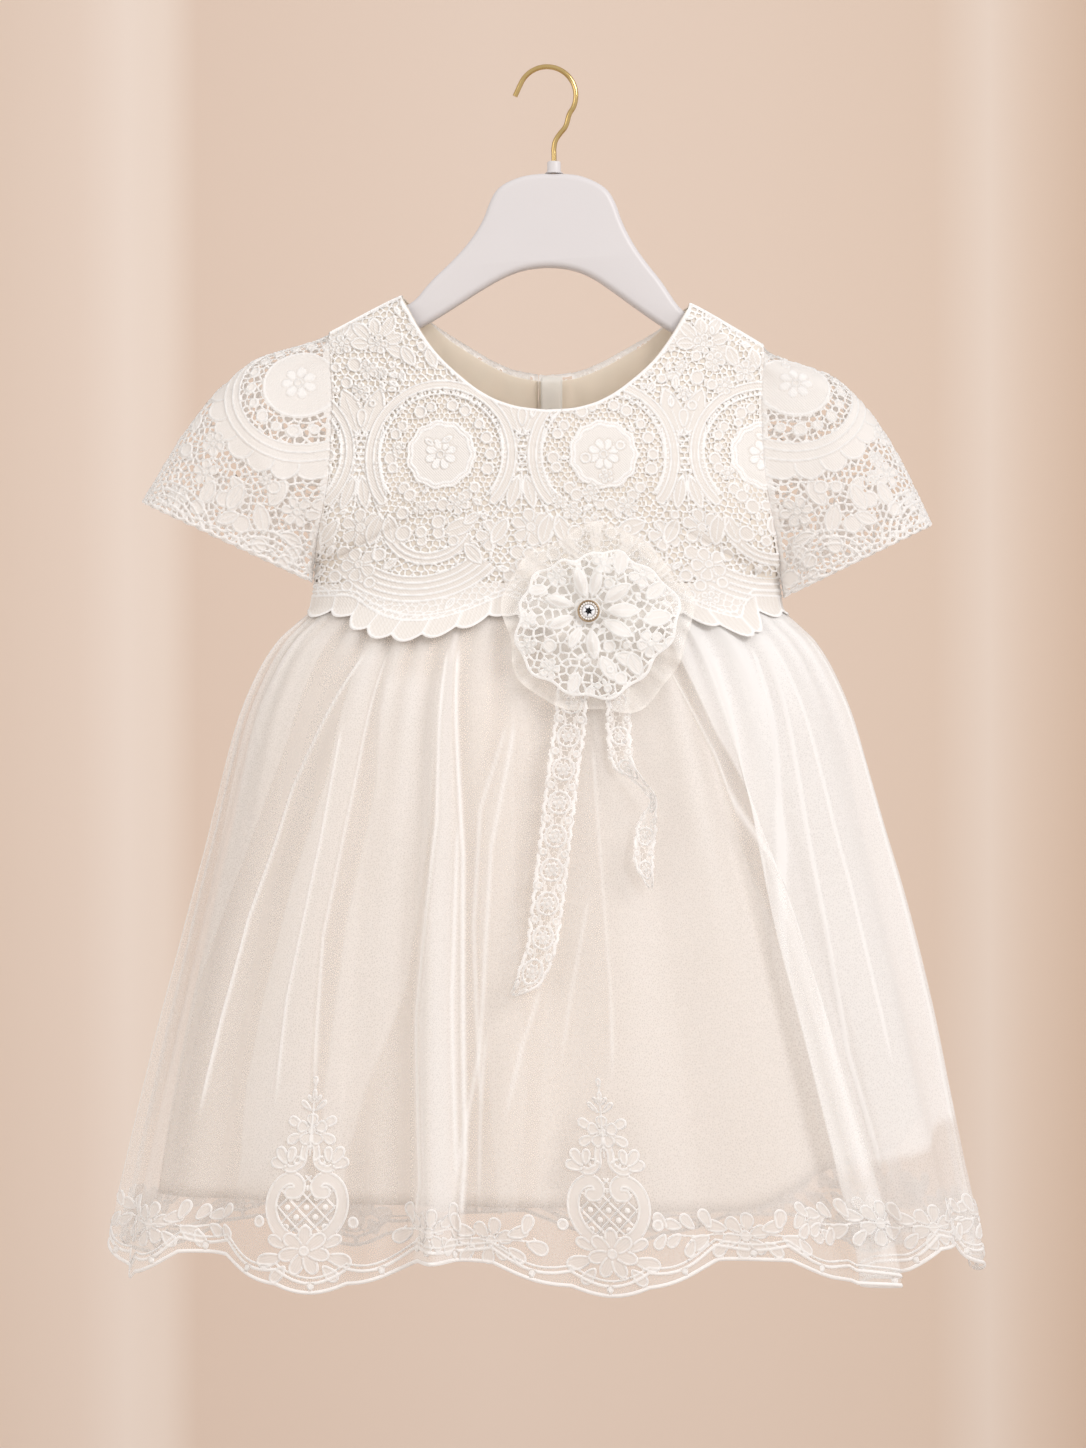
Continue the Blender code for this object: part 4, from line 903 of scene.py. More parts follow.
def edge_bodice(lace, side, left, right):
    """Scalloped border and neck cord, then everything outside the cut is taken off."""
    x, y = lace.x, lace.y
    low, line = lace_bottom(lace.across), lace_line(lace.across) + 8.6
    border = line - y
    part = np.clip((y - low) / np.maximum(line - low, 1), 0, 1)
    lobe = np.abs(np.mod((lace.across - LACE_DEEP_AT) / SMALL_LOBE + 0.5, 1) - 0.5)
    ribs = 0.13 * np.cos(2 * np.pi * x / 2.1)
    lace.lay(EVERYWHERE, np.minimum(-272.0 - y, 3.0), 0.2)
    lace.lay(EVERYWHERE, border, 0.24 + ribs, True)
    spoke = np.minimum(0.5 - lobe * SMALL_LOBE, border)
    lace.ridge(spoke, 0.55, 0.8)
    steep = np.hypot(1, np.gradient(low, lace.pitch))
    for edge, wide in (((y - low) / steep - 0.75, 1.3), (y - line, 1.2), (y - line - 2.6, 0.9)):
        rim = wide / 2 - np.abs(edge)
        lace.ridge(rim, wide / 2, 0.95)
    high = lace_top(side, lace.across)
    slope = np.hypot(1, np.gradient(high, lace.pitch))
    neck = 0.9 - np.abs((high - y) / slope - 0.9)
    lace.ridge(neck, 0.9, 0.7)
    for seam in (left, right):
        fold = 0.8 - np.abs(x - seam - (0.8 if seam == left else -0.8))
        lace.ridge(fold, 0.8, 0.25)
    lace.trim(*bodice_cut(lace, side, left, right))


LOWER_MOTIFS = [  # kind, place from the medallion's centre, height, turn or petals, size, width
    ("flower", -37.5, -243, 6, 10.08, 0), ("leaf", -28.0, -236, -104, 17, 8.5),
         ("leaf", -24.5, -236, -74, 16, 8.0),
    ("rosette", -15.5, -246, 0, 4.2, 0), ("rosette", -44, -256, 0, 3.8, 0),
         ("flower", -36, -262, 5, 8.96, 0),
    ("rosette", -26.5, -257, 0, 3.6, 0), ("rosette", -47.5, -268, 0, 3.4, 0),
         ("rosette", -30, -271.5, 0, 3.0, 0),
    ("rosette", -41, -273, 0, 3.2, 0), ("leaf", 20, -240, 200, 17, 9.0),
         ("flower", 28.5, -247, 5, 8.4, 0),
    ("leaf", 36, -238, -120, 16, 7.5), ("rosette", 19, -254, 0, 3.6, 0),
         ("leaf", 24, -262, 130, 14, 7.0),
    ("rosette", 2, -246, 0, 3.2, 0), ("rosette", 9.5, -250, 0, 3.0, 0),
         ("rosette", -6, -250, 0, 2.8, 0),
]


def draw_bodice(lace, first_medallion, seed):
    lace.net(3.5, 0.85, 0.62, seed)
    centres = [first_medallion + LACE_PITCH * k for k in range(-3, 5)]
    for cx in centres:
        fan(lace, cx - 8.5, -229, 52.5, 222, 318, 5)
        fan(lace, cx - 3, -238, 24, 205, 335, 3, 2.8)
        for kind, dx, z, turn, size, wide in LOWER_MOTIFS:
            lace.motif(kind, cx + dx, z, turn, size, wide, 40)
        for side in (-1, 1):
            lace.stem(cx + side * 24, -240, -90 + side * 40, 22, -side * 60)
            lace.stem(cx + side * 12, -160, 90 - side * 50, 20, side * 55)
            spray(lace, cx + side * 33, -146, 90 + side * 12)
            lace.leaf(cx + side * 14, -158, 90 - side * 30, 13, 7)
            lace.flower(cx + side * 12, -136, 6.5, 6, 10)
        lace.leaf(cx - 3, -159, 110, 12, 7)
        lace.leaf(cx + 3, -159, 70, 12, 7)
    for cx in centres:
        sheaf(lace, cx + LACE_PITCH / 2, -203.5)
    for cx in centres:
        medallion(lace, cx, -205)
    scatter(lace, lace.across[0], lace.across[-1], -284, -118, seed, 9.0, 1500)


# %% Bodice front
BODICE_LOW, BODICE_HIGH = -308, -117
FINE_PITCH, COARSE_PITCH = 0.57, 0.9      # the backs are seen less closely
lace = LacePattern(-BODICE_HALF, BODICE_HALF, BODICE_LOW, BODICE_HIGH, FINE_PITCH)
draw_bodice(lace, 29.5, 11)
edge_bodice(lace, FRONT, -BODICE_HALF, BODICE_HALF)
front_lace = lace_piece("lace_bodice_front", lace, bodice_lace_place(FRONT), LACE_YARN,
                        "bodice_lace_front")

# %% Bodice backs
BACK_HALVES = (("left", -BODICE_HALF, BACK_OPENING - 0.2),
               ("right", BACK_OPENING + 0.2, BODICE_HALF))
for name, left, right in BACK_HALVES:
    lace = LacePattern(left, right, BODICE_LOW, BODICE_HIGH, COARSE_PITCH)
    draw_bodice(lace, BACK_OPENING + 42, 12)
    edge_bodice(lace, BACK, left, right)
    piece = lace_piece(f"lace_bodice_back_{name}", lace, bodice_lace_place(BACK),
                       THIN_LACE_YARN_PAINTED_LIGHTER, f"bodice_lace_back_{name}", True)

# %% [markdown]
# ## Satin lining
# It shows inside the neck and between the bars of the lace. It is a thin sheet on the
# form itself, with a few soft pulls towards the back opening.

# %% Lining panels
SATIN_SHEET, PLACKET_SHEET = 0.5, 0.8
LINING_OUT = 0.4      # close under the lace, so that only a little shade lies between


def lining_place(side):
    def place(u, share):
        across = share_across(u)
        below = 0.0 if side == FRONT else 3.6 * ease((0.62 - np.abs(across)) / 0.2)
        top = bodice_top(side, across * SHOULDER_HALF, 0.0) - below
        z = WAIST + share * (top - WAIST)
        pull = 0.5 * np.sin(u * 0.17 + 3 * share + np.sin(u * 0.07)) * bump((share - 0.85)
                                                                            / 0.4) * (side == BACK)
        return bodice_spot(side, across, z, LINING_OUT - np.abs(pull))
    return place


ROWS = np.concatenate([steps(0, 0.9, 30), 0.9 + 0.1 * np.sin(steps(0.1, 1, 10) * np.pi / 2)])
LINING = [("front", -BODICE_HALF, BODICE_HALF)]
LINING += [("back_" + name, left, right) for name, left, right in BACK_HALVES]
for name, left, right in LINING:
    side, satin = (FRONT, LINING_SATIN) if name == "front" else (BACK, BACK_LINING_SATIN_PAINTED_LIGHTER)
    mesh = cloth_grid(steps(left, right, int((right - left) / 2.6)), ROWS, lining_place(side),
                      lambda u, share: (u, 150 * share), side == BACK)
    piece = keep(f"lining_{name}", mesh, satin, f"bodice_lining_{name}")
    give_wall(piece, SATIN_SHEET)


# %% Placket
def placket_place(x, share):
    top = bodice_top(BACK, 0.0, 0.0) - 1.5
    z = WAIST + 1 + share * (top - WAIST - 1)
    return bodice_spot(BACK, x / SHOULDER_HALF, z, -2.6)


mesh = cloth_grid(steps(-3.4, 8.4, 8), steps(0, 1, 40), placket_place,
                  lambda x, share: (x, 120 * share), True)
placket = keep("placket", mesh, PLACKET_SATIN, "back_placket")
give_wall(placket, PLACKET_SHEET)

# %% [markdown]
# ## Sleeves
# Each sleeve is a short flared tube of the same lace, seamed along the shoulder line.
# Its pattern is drawn flat, from the shoulder line down to the underarm and from the
# armhole out to the cuff, with a medallion near the armhole and bands round it.

# %% The sleeve's surface
# Each row is tip x, tip height, underarm height, lower cuff x, lower cuff height.
SLEEVES = {LEFT: (-214.0, -228.5, -260.0, -122.6, -271.5),
           RIGHT: (203.5, -240.5, -268.0, 123.8, -279.5)}
SLEEVE_START, SLEEVE_UNDERARM, SLEEVE_CLEAR = 113.5, 121.6, 1.0
SLEEVE_BULGE, SLEEVE_PUFF, SLEEVE_CUFF = 17.0, 31.0, 27.0
SEAM_TURN = 9      # degrees beside the shoulder seam in which both halves meet


def sleeve_spot(side, turn, share, out):
    """turn is 0 at the shoulder line, 180 at the underarm over the front, 360 round the back."""
    tip_x, tip_z, underarm, cuff_x, cuff_z = SLEEVES[side]
    angle = np.radians(turn)
    top_z = shoulder_ridge(SLEEVE_START * side) + LACE_OFF + LACE_WALL
    start_x, under_x = SLEEVE_START + SLEEVE_CLEAR, SLEEVE_UNDERARM + SLEEVE_CLEAR
    run_x, run_z = abs(tip_x) - start_x, tip_z - top_z
    length = math.hypot(run_x, run_z)
    bow = SLEEVE_BULGE * np.sin(np.pi * share ** 0.8)
    upper_x = start_x + share * run_x - bow * run_z / length
    upper_z = top_z + share * run_z + bow * run_x / length
    lower_x = under_x + share * (abs(cuff_x) - under_x)
    lower_z = underarm + share * (cuff_z - underarm)
    half_x, half_z = (upper_x - lower_x) / 2, (upper_z - lower_z) / 2
    grow = 1 - (LACE_WALL - out) / np.hypot(half_x, half_z)
    x = (upper_x + lower_x) / 2 + half_x * grow * np.cos(angle)
    z = (upper_z + lower_z) / 2 + half_z * grow * np.cos(angle)
    rim_z = (top_z + underarm) / 2 + (top_z - underarm) / 2 * np.cos(angle)
    rim_x = np.full_like(rim_z, side * SLEEVE_START)
    hole = armhole_depth(rim_x, rim_z, chest_depth(rim_x, rim_z, 0))
    hole = np.maximum(hole, 2 * np.abs(np.sin(angle)))
    full = SLEEVE_PUFF + (SLEEVE_CUFF - SLEEVE_PUFF) * share
    away = ease(share / 0.45)
    from_seam = np.minimum(turn, 360 - turn)
    beside_seam = ease(from_seam / SEAM_TURN)
    depth = (hole + 0.8 * beside_seam) * (1 - away) + full * np.abs(np.sin(angle)) ** 0.85 * away
    leave = ease(share / 0.3)
    x = (form_width(z) + SLEEVE_CLEAR) * (1 - leave) + x * leave
    wave = np.cos(turn / 90 * np.pi * 6) * bump(share / 0.4) * ease(share / 0.06)
    wave = wave * bump(from_seam / 110)
    depth = depth + (out + wave) * beside_seam
    return side * x, np.where(turn < 180, -depth, depth), z


# %% The sleeve pressed flat
# A cap sleeve pressed flat shows its front as a fan: the rows of cloth swing round the
# underarm. The pattern is drawn on that flat shape, so a circle on it stays a circle.
SHARES = np.linspace(0, 1, 41)


def sleeve_rows(side):
    """For 41 rows from armhole to cuff: middle, way up, half chord and half girth above it."""
    rows = []
    for share in SHARES:
        turns = np.linspace(0, 90, 46)
        x, y, z = sleeve_spot(side, turns, np.full(46, share), 0.0)
        girth = np.concatenate([[0], np.cumsum(np.sqrt(np.diff(x) ** 2 + np.diff(y) ** 2
                                                       + np.diff(z) ** 2))])
        low_x, _, low_z = sleeve_spot(side, np.array([180.0]), np.array([share]), 0.0)
        run = np.array([abs(x[0]) - abs(low_x[0]), z[0] - low_z[0]])
        length = np.hypot(*run)
        rows.append([(abs(x[0]) + abs(low_x[0])) / 2, (z[0] + low_z[0]) / 2, *run / length,
                     length / 2, *(girth[-1] - girth)])
    return np.array(rows).T


def from_flat(rows, x, z):
    """Share of the way out, turn round the sleeve, and room to the seams and the cuff."""
    def past(share):
        mid_x, mid_z, way_x, way_z = (np.interp(share, SHARES, rows[k]) for k in range(4))
        return (x - mid_x) * way_z - (z - mid_z) * way_x, (x - mid_x) * way_x + (z - mid_z) * way_z
    low, high = np.zeros_like(x), np.ones_like(x)
    for _ in range(22):
        middle = (low + high) / 2
        beyond = past(middle)[0] > 0
        low, high = np.where(beyond, middle, low), np.where(beyond, high, middle)
    share = (low + high) / 2
    up = past(share)[1]
    half_chord, half_girth = (np.interp(share, SHARES, rows[k]) for k in (4, 5))
    ratio = rows[5:, 20] / rows[5, 20]
    above = np.interp(np.clip(up / half_girth, 0, 1), ratio[::-1], np.linspace(0, 90, 46)[::-1])
    below = np.degrees(np.arccos(np.clip(up / half_chord, -1, 0)))
    room = np.minimum.reduce([half_girth - up, up + half_chord, past(0.0)[0], -past(1.0)[0]])
    return share, np.where(up > 0, above, below), room, -past(1.0)[0], up


# %% Draw and hang the sleeves
SLEEVE_MOTIFS = [  # kind, out from the middle, height, turn or petals, size, width
    ("flower", 178.2, -213.7, 5, 7.0, 0), ("leaf", 186, -205, 40, 13, 7.0),
                 ("leaf", 173, -218, -60, 15, 8.0),
    ("leaf", 164, -216, -120, 14, 7.5), ("rosette", 168, -228, 0, 4.4, 0),
                 ("leaf", 158, -220, -60, 16, 8.5),
    ("flower", 130.3, -234.5, 6, 8.0, 0), ("leaf", 144, -232, 120, 16, 9.0),
                 ("leaf", 150, -230, -100, 17, 9.0),
    ("rosette", 159, -241, 0, 5.0, 0), ("leaf", 140, -246, 200, 13, 7.0),
                 ("rosette", 150, -252, 0, 4.2, 0),
    ("flower", 193, -226, 5, 6.0, 0), ("leaf", 187, -190, 100, 12, 7.0),
                 ("rosette", 190, -200, 0, 4.0, 0),
    ("leaf", 122, -222, 200, 12, 7.0), ("rosette", 142, -222, 0, 3.6, 0),
                 ("rosette", 118, -246, 0, 4.0, 0),
    ("leaf", 128, -252, -40, 13, 7.0), ("rosette", 137, -260, 0, 3.8, 0),
                 ("rosette", 182, -232, 0, 4.2, 0),
    ("leaf", 172, -240, 160, 13, 7.0), ("rosette", 122, -262, 0, 3.6, 0),
                 ("leaf", 112, -232, -80, 13, 7.0),
]
SLEEVE_DISC = (130.5, -169.5, 17.6)
SLEEVE_WINDOW = (106, 232, -290, -98)      # left, right, bottom and top of the flat pattern


def draw_sleeve(lace, seed, cell):
    """A medallion by the armhole, two stitched bands and lobes round it, sprays beyond."""
    x, y = lace.x, lace.y
    lace.net(cell, 1.1, 0.62, seed, 0.34)
    for kind, cx, cy, turn, size, wide in SLEEVE_MOTIFS:
        lace.motif(kind, cx, cy, turn, size, wide, 7 * cx)
    for reach in (14, 17.6, 21.2, 25.4):
        lace.cord(arc(206, -248, reach + 6, 60, 190, 24), 1.05, 0.9)
    for reach in (9, 12.5, 16):
        lace.cord(arc(150, -266, reach + 6, 10, 170, 24), 1.0, 0.85)
    cx, cy, radius = SLEEVE_DISC
    within = np.hypot(x - cx, y - cy)
    for k in range(11):
        angle = math.radians(-98 + 17 * k)
        lace.disc(*on_circle(cx, cy, 41.5, angle), 7.6, 0.95, 1.15)
    for reach in (37.0, 32.4):
        lace.band(arc(cx, cy, reach, -130, 110, 60), 5.0, 0.95, 1.15)
    lace.cut(30.0 - within)
    lace.net(3.8, 0.85, 0.5, seed + 5, 0.3, 30.4 - within)
    for k in range(17):
        angle = 2 * math.pi * k / 17
        lace.rosette(*on_circle(cx, cy, 23.8, angle), 2.9 + 0.4 * math.sin(3 * k))
    lace.lay(EVERYWHERE, radius - within, 0.3 + 0.10 * np.cos((x + y) * 3.6), True)
    rim = 0.75 - np.abs(within - radius + 0.7)
    lace.ridge(rim, 0.75, 0.95)
    daisy(lace, cx, cy, [51.4 * k for k in range(7)], 1.6, 4.6, 0.7)
    if cell < 5:
        scatter(lace, 112, 228, -282, -125, seed, 12.0, 160, 3.4)


def hang_sleeve(side, half):
    name = ("left_" if side == LEFT else "right_") + ("front" if half == FRONT else "back")
    rows = sleeve_rows(side)
    pitch, cell = (0.56, 4.0) if half == FRONT else (0.85, 5.4)
    lace = LacePattern(*SLEEVE_WINDOW, pitch)
    draw_sleeve(lace, 21 if side == LEFT else 22, cell)
    x, y = lace.x, lace.y
    _, _, room, from_cuff, up = (part.reshape(x.shape) for part in from_flat(rows, x.ravel(),
                                                                             y.ravel()))
    end = from_cuff - 0.2 - 1.1 * (1 - np.abs(np.sin(np.pi * up / 7.6)))
    for step, width in ((0.8, 1.3), (4.2, 1.0)):
        rim = width / 2 - np.abs(end - step)
        lace.ridge(rim, width / 2, 0.9)
    seam = np.minimum(0.9 - np.abs(room - 0.9), from_cuff)
    lace.ridge(seam, 0.9, 0.35)
    lace.trim(room, end)

    def place(u, v, relief):
        share, turn, *_ = from_flat(rows, u, v)
        turn = turn if half == FRONT else 360 - turn
        return sleeve_spot(side, turn, share, 0.25 + relief)

    mirrored = (side == LEFT) == (half == FRONT)
    piece = lace_piece(f"lace_sleeve_{name}", lace, place, THIN_LACE_YARN_PAINTED_LIGHTER,
                       f"sleeve_{name}", mirrored)


for side in (LEFT, RIGHT):
    for half in (FRONT, BACK):
        hang_sleeve(side, half)

# %% [markdown]
# ## The skirts' surfaces
# Both skirts hang on the same flared form. A place round the hem is a number from 0 to
# 4: left side, centre front, right side, centre back. Each long fold starts at its own
# place on the waist seam and swings a little on its way down.

# %% Folds, gathers and the lapped pleat
FOLDS = [  # place at the hem, place at the waist, half breadth, lift at the waist, lift at the hem
    (0.05, 0.09, 0.10, 1.0, 9.0), (0.29, 0.30, 0.17, 2.2, 12.0), (0.58, 0.52, 0.16, 1.6, 12.5),
    (0.735, 0.66, 0.05, 1.5, 5.0), (0.838, 0.755, 0.036, 2.8, 18.0), (0.965, 0.90, 0.09, 1.4, 8.5),
    (1.14, 1.09, 0.12, 2.0, 10.5), (1.375, 1.25, 0.13, 1.6, 12.0), (1.72, 1.64, 0.11, 2.2, 9.0),
    (1.93, 1.88, 0.09, 1.0, 8.0), (2.12, 2.12, 0.10, 1.4, 9.0), (2.33, 2.31, 0.10, 2.0, 11.0),
    (2.55, 2.56, 0.12, 1.5, 12.0), (2.79, 2.80, 0.10, 2.4, 10.0), (3.00, 3.00, 0.11, 1.5, 13.0),
    (3.23, 3.20, 0.10, 2.4, 10.0), (3.46, 3.45, 0.12, 1.6, 12.0), (3.70, 3.70, 0.11, 2.0, 10.0),
    (3.89, 3.90, 0.08, 1.2, 8.0),
]
HEM_DROP, HEM_MOTIF_AT, HEM_MOTIFS, DEEP_SCALLOP, SMALL_SCALLOP = 339.0, 1.09, 9, 8.5, 2.0
LAP_AT, LAP_WAIST, LAP_HALF, LAP_STEP, LAP_OVER = 1.545, 1.36, 0.055, 5.5, 17.0
WAIST_SEAM, TULLE_WALL, SATIN_WALL = 0.7, 1.0, 1.2
fixed_rows = [(0.0, 0.0), (LAP_AT, LAP_WAIST), (2.0, 2.0), (4.0, 4.0)]
waist_rows = sorted(fixed_rows + [fold[:2] for fold in FOLDS])


def waist_place(cloth):
    return np.interp(cloth, [row[0] for row in waist_rows], [row[1] for row in waist_rows])


def ring_spot(around, width, depth, corner):
    def spot(at):
        angle = np.pi / 2 * (at - 1)
        across = np.sin(angle)
        side = np.where(np.cos(angle) >= 0, FRONT, BACK)
        return width * across, side * depth * half_outline(across, corner)
    x, y = spot(around)
    ahead, behind = spot(around + 0.01), spot(around - 0.01)
    run_x, run_y = ahead[0] - behind[0], ahead[1] - behind[1]
    length = np.hypot(run_x, run_y)
    return x, y, run_y / length, -run_x / length


def fold_lift(cloth, drop):
    share, ramp, lift = np.minimum(1, drop / HEM_DROP), ease(drop / 30), 0.0
    for place, _, half, at_waist, at_hem in FOLDS:
        near = np.mod(cloth - place + 2, 4) - 2
        height = at_waist * ramp + (at_hem - at_waist) * share ** 1.15
        lift = lift + np.clip(height, 0, None) * bump(near / half)
    return lift


def gather_lift(cloth, drop):
    """Soft uneven gathers under the seam, nearly none in the smooth front panel."""
    smooth = 1 - 0.75 * bump(np.clip((cloth - 1.22) / 0.26, -1, 1))
    grow = 0.5 + 2.6 * ease(drop / 12)
    long = 120 + 90 * np.sin(7.3 * cloth + 1) * np.sin(3.1 * cloth)
    fade = 1 - ease((drop - 12) / long)
    drift = 2.2 * np.sin(2 * np.pi * cloth / 0.8)
    wander = np.cos(np.pi * cloth * 21 + drift + 1.2 * np.sin(np.pi * cloth * 2.5))
    uneven = 0.62 + 0.38 * np.sin(np.pi * cloth * 6.5) * np.cos(np.pi * cloth * 2.5)
    return grow * fade * uneven * smooth * (0.5 + 0.5 * wander)


def lap_shift(cloth, drop):
    near = (cloth - LAP_AT) / LAP_HALF
    share = ease((drop - 25) / 150) * (0.45 + 0.55 * np.minimum(1, drop / HEM_DROP))
    swing = np.where(np.abs(near) < 1, -LAP_OVER * share * np.sin(np.pi * near), 0)
    step = -LAP_STEP * share * np.sin(np.pi / 2 * np.clip(near, -1, 1))
    fade = 1 - ease((np.abs(near) - 1) / 0.6)
    return swing, LAP_STEP * share * bump(near / 1.6) + step * fade


def skirt_spot(cloth, drop, width_less, depth_less, lift, swing=0.0):
    z = WAIST - WAIST_SEAM - drop
    share = np.minimum(1, drop / HEM_DROP)
    around = waist_place(cloth) * (1 - share) + cloth * share
    x, y, out_x, out_y = ring_spot(around, form_width(z) - width_less, form_depth(z) - depth_less,
                                   form_corner(z))
    return x + out_x * lift - out_y * swing, y + out_y * lift + out_x * swing, z


UNDER_HEM = [(0.0, -591), (0.5, -588), (1.0, -589), (1.3, -592), (1.55, -572), (1.75, -562),
             (1.88, -551), (2.0, -547), (2.4, -546), (2.7, -560), (3.0, -584), (3.5, -592),
             (4.0, -591)]
under_hem = curve_through(UNDER_HEM, 1)


def hem_drop(cloth):
    turn = (cloth - HEM_MOTIF_AT) * HEM_MOTIFS / 4 * 2 * np.pi
    return HEM_DROP + DEEP_SCALLOP * np.cos(turn) + SMALL_SCALLOP * (np.abs(np.cos(turn * 2)) - 0.5)


# %% [markdown]
# ## Net overskirt
# Fine net has no body, so every small gather shows as a thin bright line. Those lines
# run from the waist seam, lean with the long folds and die out at different heights.
# Where the net lies double it looks whiter, with a sharp edge. A table of such stretches and lines
# says where, and the net is denser and a little raised there. The broad stretch on the right panel
# is partly painted light, and the gathers carry painted light on their ridges and painted shade in
# their valleys.

# %% Where the net lies double
# Each row is a stretch of net that lies double or folded: how much whiter it is, and
# its two edges, each as pairs of drop below the waist and place round the hem.
STREAKS = [
    (0.24, [(30, 0.59), (87, 0.575), (141, 0.512), (198, 0.479), (248, 0.465), (283, 0.48)],
     [(23, 0.679), (84, 0.656), (116, 0.64), (169, 0.62), (225, 0.629), (283, 0.634)]),
    (0.16, [(20, 0.10), (100, 0.13), (200, 0.17), (330, 0.16)],
     [(20, 0.42), (66, 0.407), (117, 0.35), (190, 0.28), (330, 0.30)]),
    (0.20, [(23, 0.69), (90, 0.70), (160, 0.66), (250, 0.645), (330, 0.65)],
     [(44, 0.852), (116, 0.838), (197, 0.795), (246, 0.731), (281, 0.70)]),
    (0.34, [(20, 0.845), (110, 0.846), (209, 0.812), (292, 0.82), (344, 0.79)],
     [(20, 0.866), (128, 0.891), (278, 0.888), (343, 0.868)]),
    (0.12, [(59, 0.974), (105, 0.925), (165, 0.912), (300, 0.93)],
     [(59, 0.99), (150, 0.985), (250, 0.99), (300, 0.97)]),
    (0.15, [(10, 1.13), (190, 1.127), (245, 1.10), (345, 1.06)],
     [(30, 1.391), (77, 1.468), (152, 1.50), (226, 1.506), (345, 1.50)]),
    (0.08, [(60, 1.02), (190, 1.02), (345, 0.97)], [(30, 1.14), (190, 1.13), (345, 1.08)]),
    # The broad whiter stretch over the right panel is partly double net and partly painted light
    # from the right.
    (0.50, [(5, 1.42), (77, 1.50), (152, 1.56), (226, 1.55), (330, 1.545)],
     [(5, 1.99), (150, 1.97), (230, 1.97), (330, 1.97)]),
]
THIN_LINES = [  # whiter lines: strength, half breadth in mm, then drop and place
    (0.55, 1.0, [(23, 0.615), (95, 0.456), (160, 0.3925), (213, 0.374), (267, 0.361)]),
    (0.35, 0.8, [(23, 0.679), (84, 0.656), (116, 0.64), (169, 0.62), (225, 0.629), (253, 0.634)]),
    (0.30, 0.7, [(60, 0.60), (120, 0.585), (200, 0.555), (260, 0.56)]),
    (0.55, 0.9, [(20, 0.866), (128, 0.891), (278, 0.888), (343, 0.868)]),
    (0.35, 0.8, [(20, 0.845), (110, 0.846), (209, 0.812), (292, 0.82), (344, 0.79)]),
    (0.30, 0.7, [(110, 0.882), (200, 0.872), (300, 0.874)]),
    (0.30, 0.8, [(59, 0.974), (105, 0.921), (165, 0.909), (260, 0.915)]),
    (0.30, 0.8, [(59, 0.9875), (123, 0.94), (225, 0.916), (298, 0.8675)]),
    (0.25, 0.7, [(190, 1.02), (224, 0.981), (266, 0.945)]),
    (0.25, 0.7, [(215, 0.927), (250, 0.915), (310, 0.905)]),
    (0.20, 0.7, [(69, 1.131), (190, 1.1275), (245, 1.1175)]),
    (0.18, 0.7, [(147, 1.105), (197, 1.064), (240, 1.035)]),
    (0.30, 0.9, [(30, 1.391), (77, 1.4725), (152, 1.53), (226, 1.51), (345, 1.505)]),
    (0.30, 0.8, [(19, 1.65), (106, 1.60), (212, 1.565), (300, 1.57)]),
    (0.28, 0.7, [(25, 1.67), (120, 1.64), (230, 1.61), (300, 1.62)]),
    (0.24, 0.7, [(12, 1.70), (150, 1.70), (240, 1.69)]),
    (0.24, 0.7, [(20, 1.56), (90, 1.55), (150, 1.56)]),
    (0.40, 0.9, [(10, 1.93), (150, 1.91), (300, 1.90), (339, 1.90)]),
    (0.35, 0.8, [(10, 0.04), (150, 0.06), (330, 0.05)]),
]
chance = np.random.default_rng(7)
for _ in range(34):      # the sides and the back have their share of both
    spot, swing = chance.uniform(2.02, 3.98), chance.uniform(-0.05, 0.05)
    start, long, broad = chance.uniform(5, 60), chance.uniform(120, 330), chance.uniform(0.01, 0.09)
    path = [(start, spot), (start + long / 2, spot + swing * 0.7), (start + long, spot + swing)]
    THIN_LINES.append((chance.uniform(0.15, 0.4), 0.9, path))
    if broad > 0.045:
        STREAKS.append((chance.uniform(0.08, 0.24), path, [(d, c + broad) for d, c in path]))


def along(path, drop):
    return np.interp(drop, [spot[0] for spot in path], [spot[1] for spot in path])


def whiter(cloth, drop, breadth):
    """How much the double net and its edges add, with painted light in the broad stretch over the
    right panel; breadth is mm of cloth for one place.
    """
    total = np.zeros_like(drop)
    for strength, left, right in STREAKS:
        first, last = max(left[0][0], right[0][0]), max(left[-1][0], right[-1][0])
        room = np.minimum(cloth - along(left, drop), along(right, drop) - cloth) * breadth
        ends = ease((drop - first + 14) / 14) * (1 - ease((drop - last) / 25))
        total += 1.2 * strength * ends * (0.75 * ease(room / 3.0) + 0.25 * ease(room / 22.0))
    for strength, half, path in THIN_LINES:
        away = np.abs(cloth - along(path, drop)) * breadth
        ends = ease((drop - path[0][0]) / 12) * (1 - ease((drop - path[-1][0] + 25) / 25))
        total += 1.5 * strength * ends * np.exp(-(away / (1.25 * half)) ** 2)
    return total


# %% Raised lines and the net's surface
def pleat_lift(cloth, drop):
    """The thin lines stand up a little, as a crease in net does."""
    lift = np.zeros_like(cloth)
    for strength, half, path in THIN_LINES:
        near = (cloth - along(path, drop)) / 0.009
        ends = ease((drop - path[0][0]) / 14) * (1 - ease((drop - path[-1][0] + 30) / 30))
        lift += 2.6 * strength * ends * bump(near) * (np.abs(near) < 1)
    return lift


def overskirt_lift(cloth, drop):
    lift = LAYER_GAP + TULLE_WALL / 2 + gather_lift(cloth, drop) + fold_lift(cloth, drop)
    right_side = 3.5 * bump((cloth - 1.98) / 0.3) * bump((drop - 170) / 130)
    return lift + pleat_lift(cloth, drop) + right_side


def overskirt_place(cloth, drop, out=0.0):
    swing, step = lap_shift(cloth, drop)
    return skirt_spot(cloth, drop, 0, 0, overskirt_lift(cloth, drop) + step + out, swing)


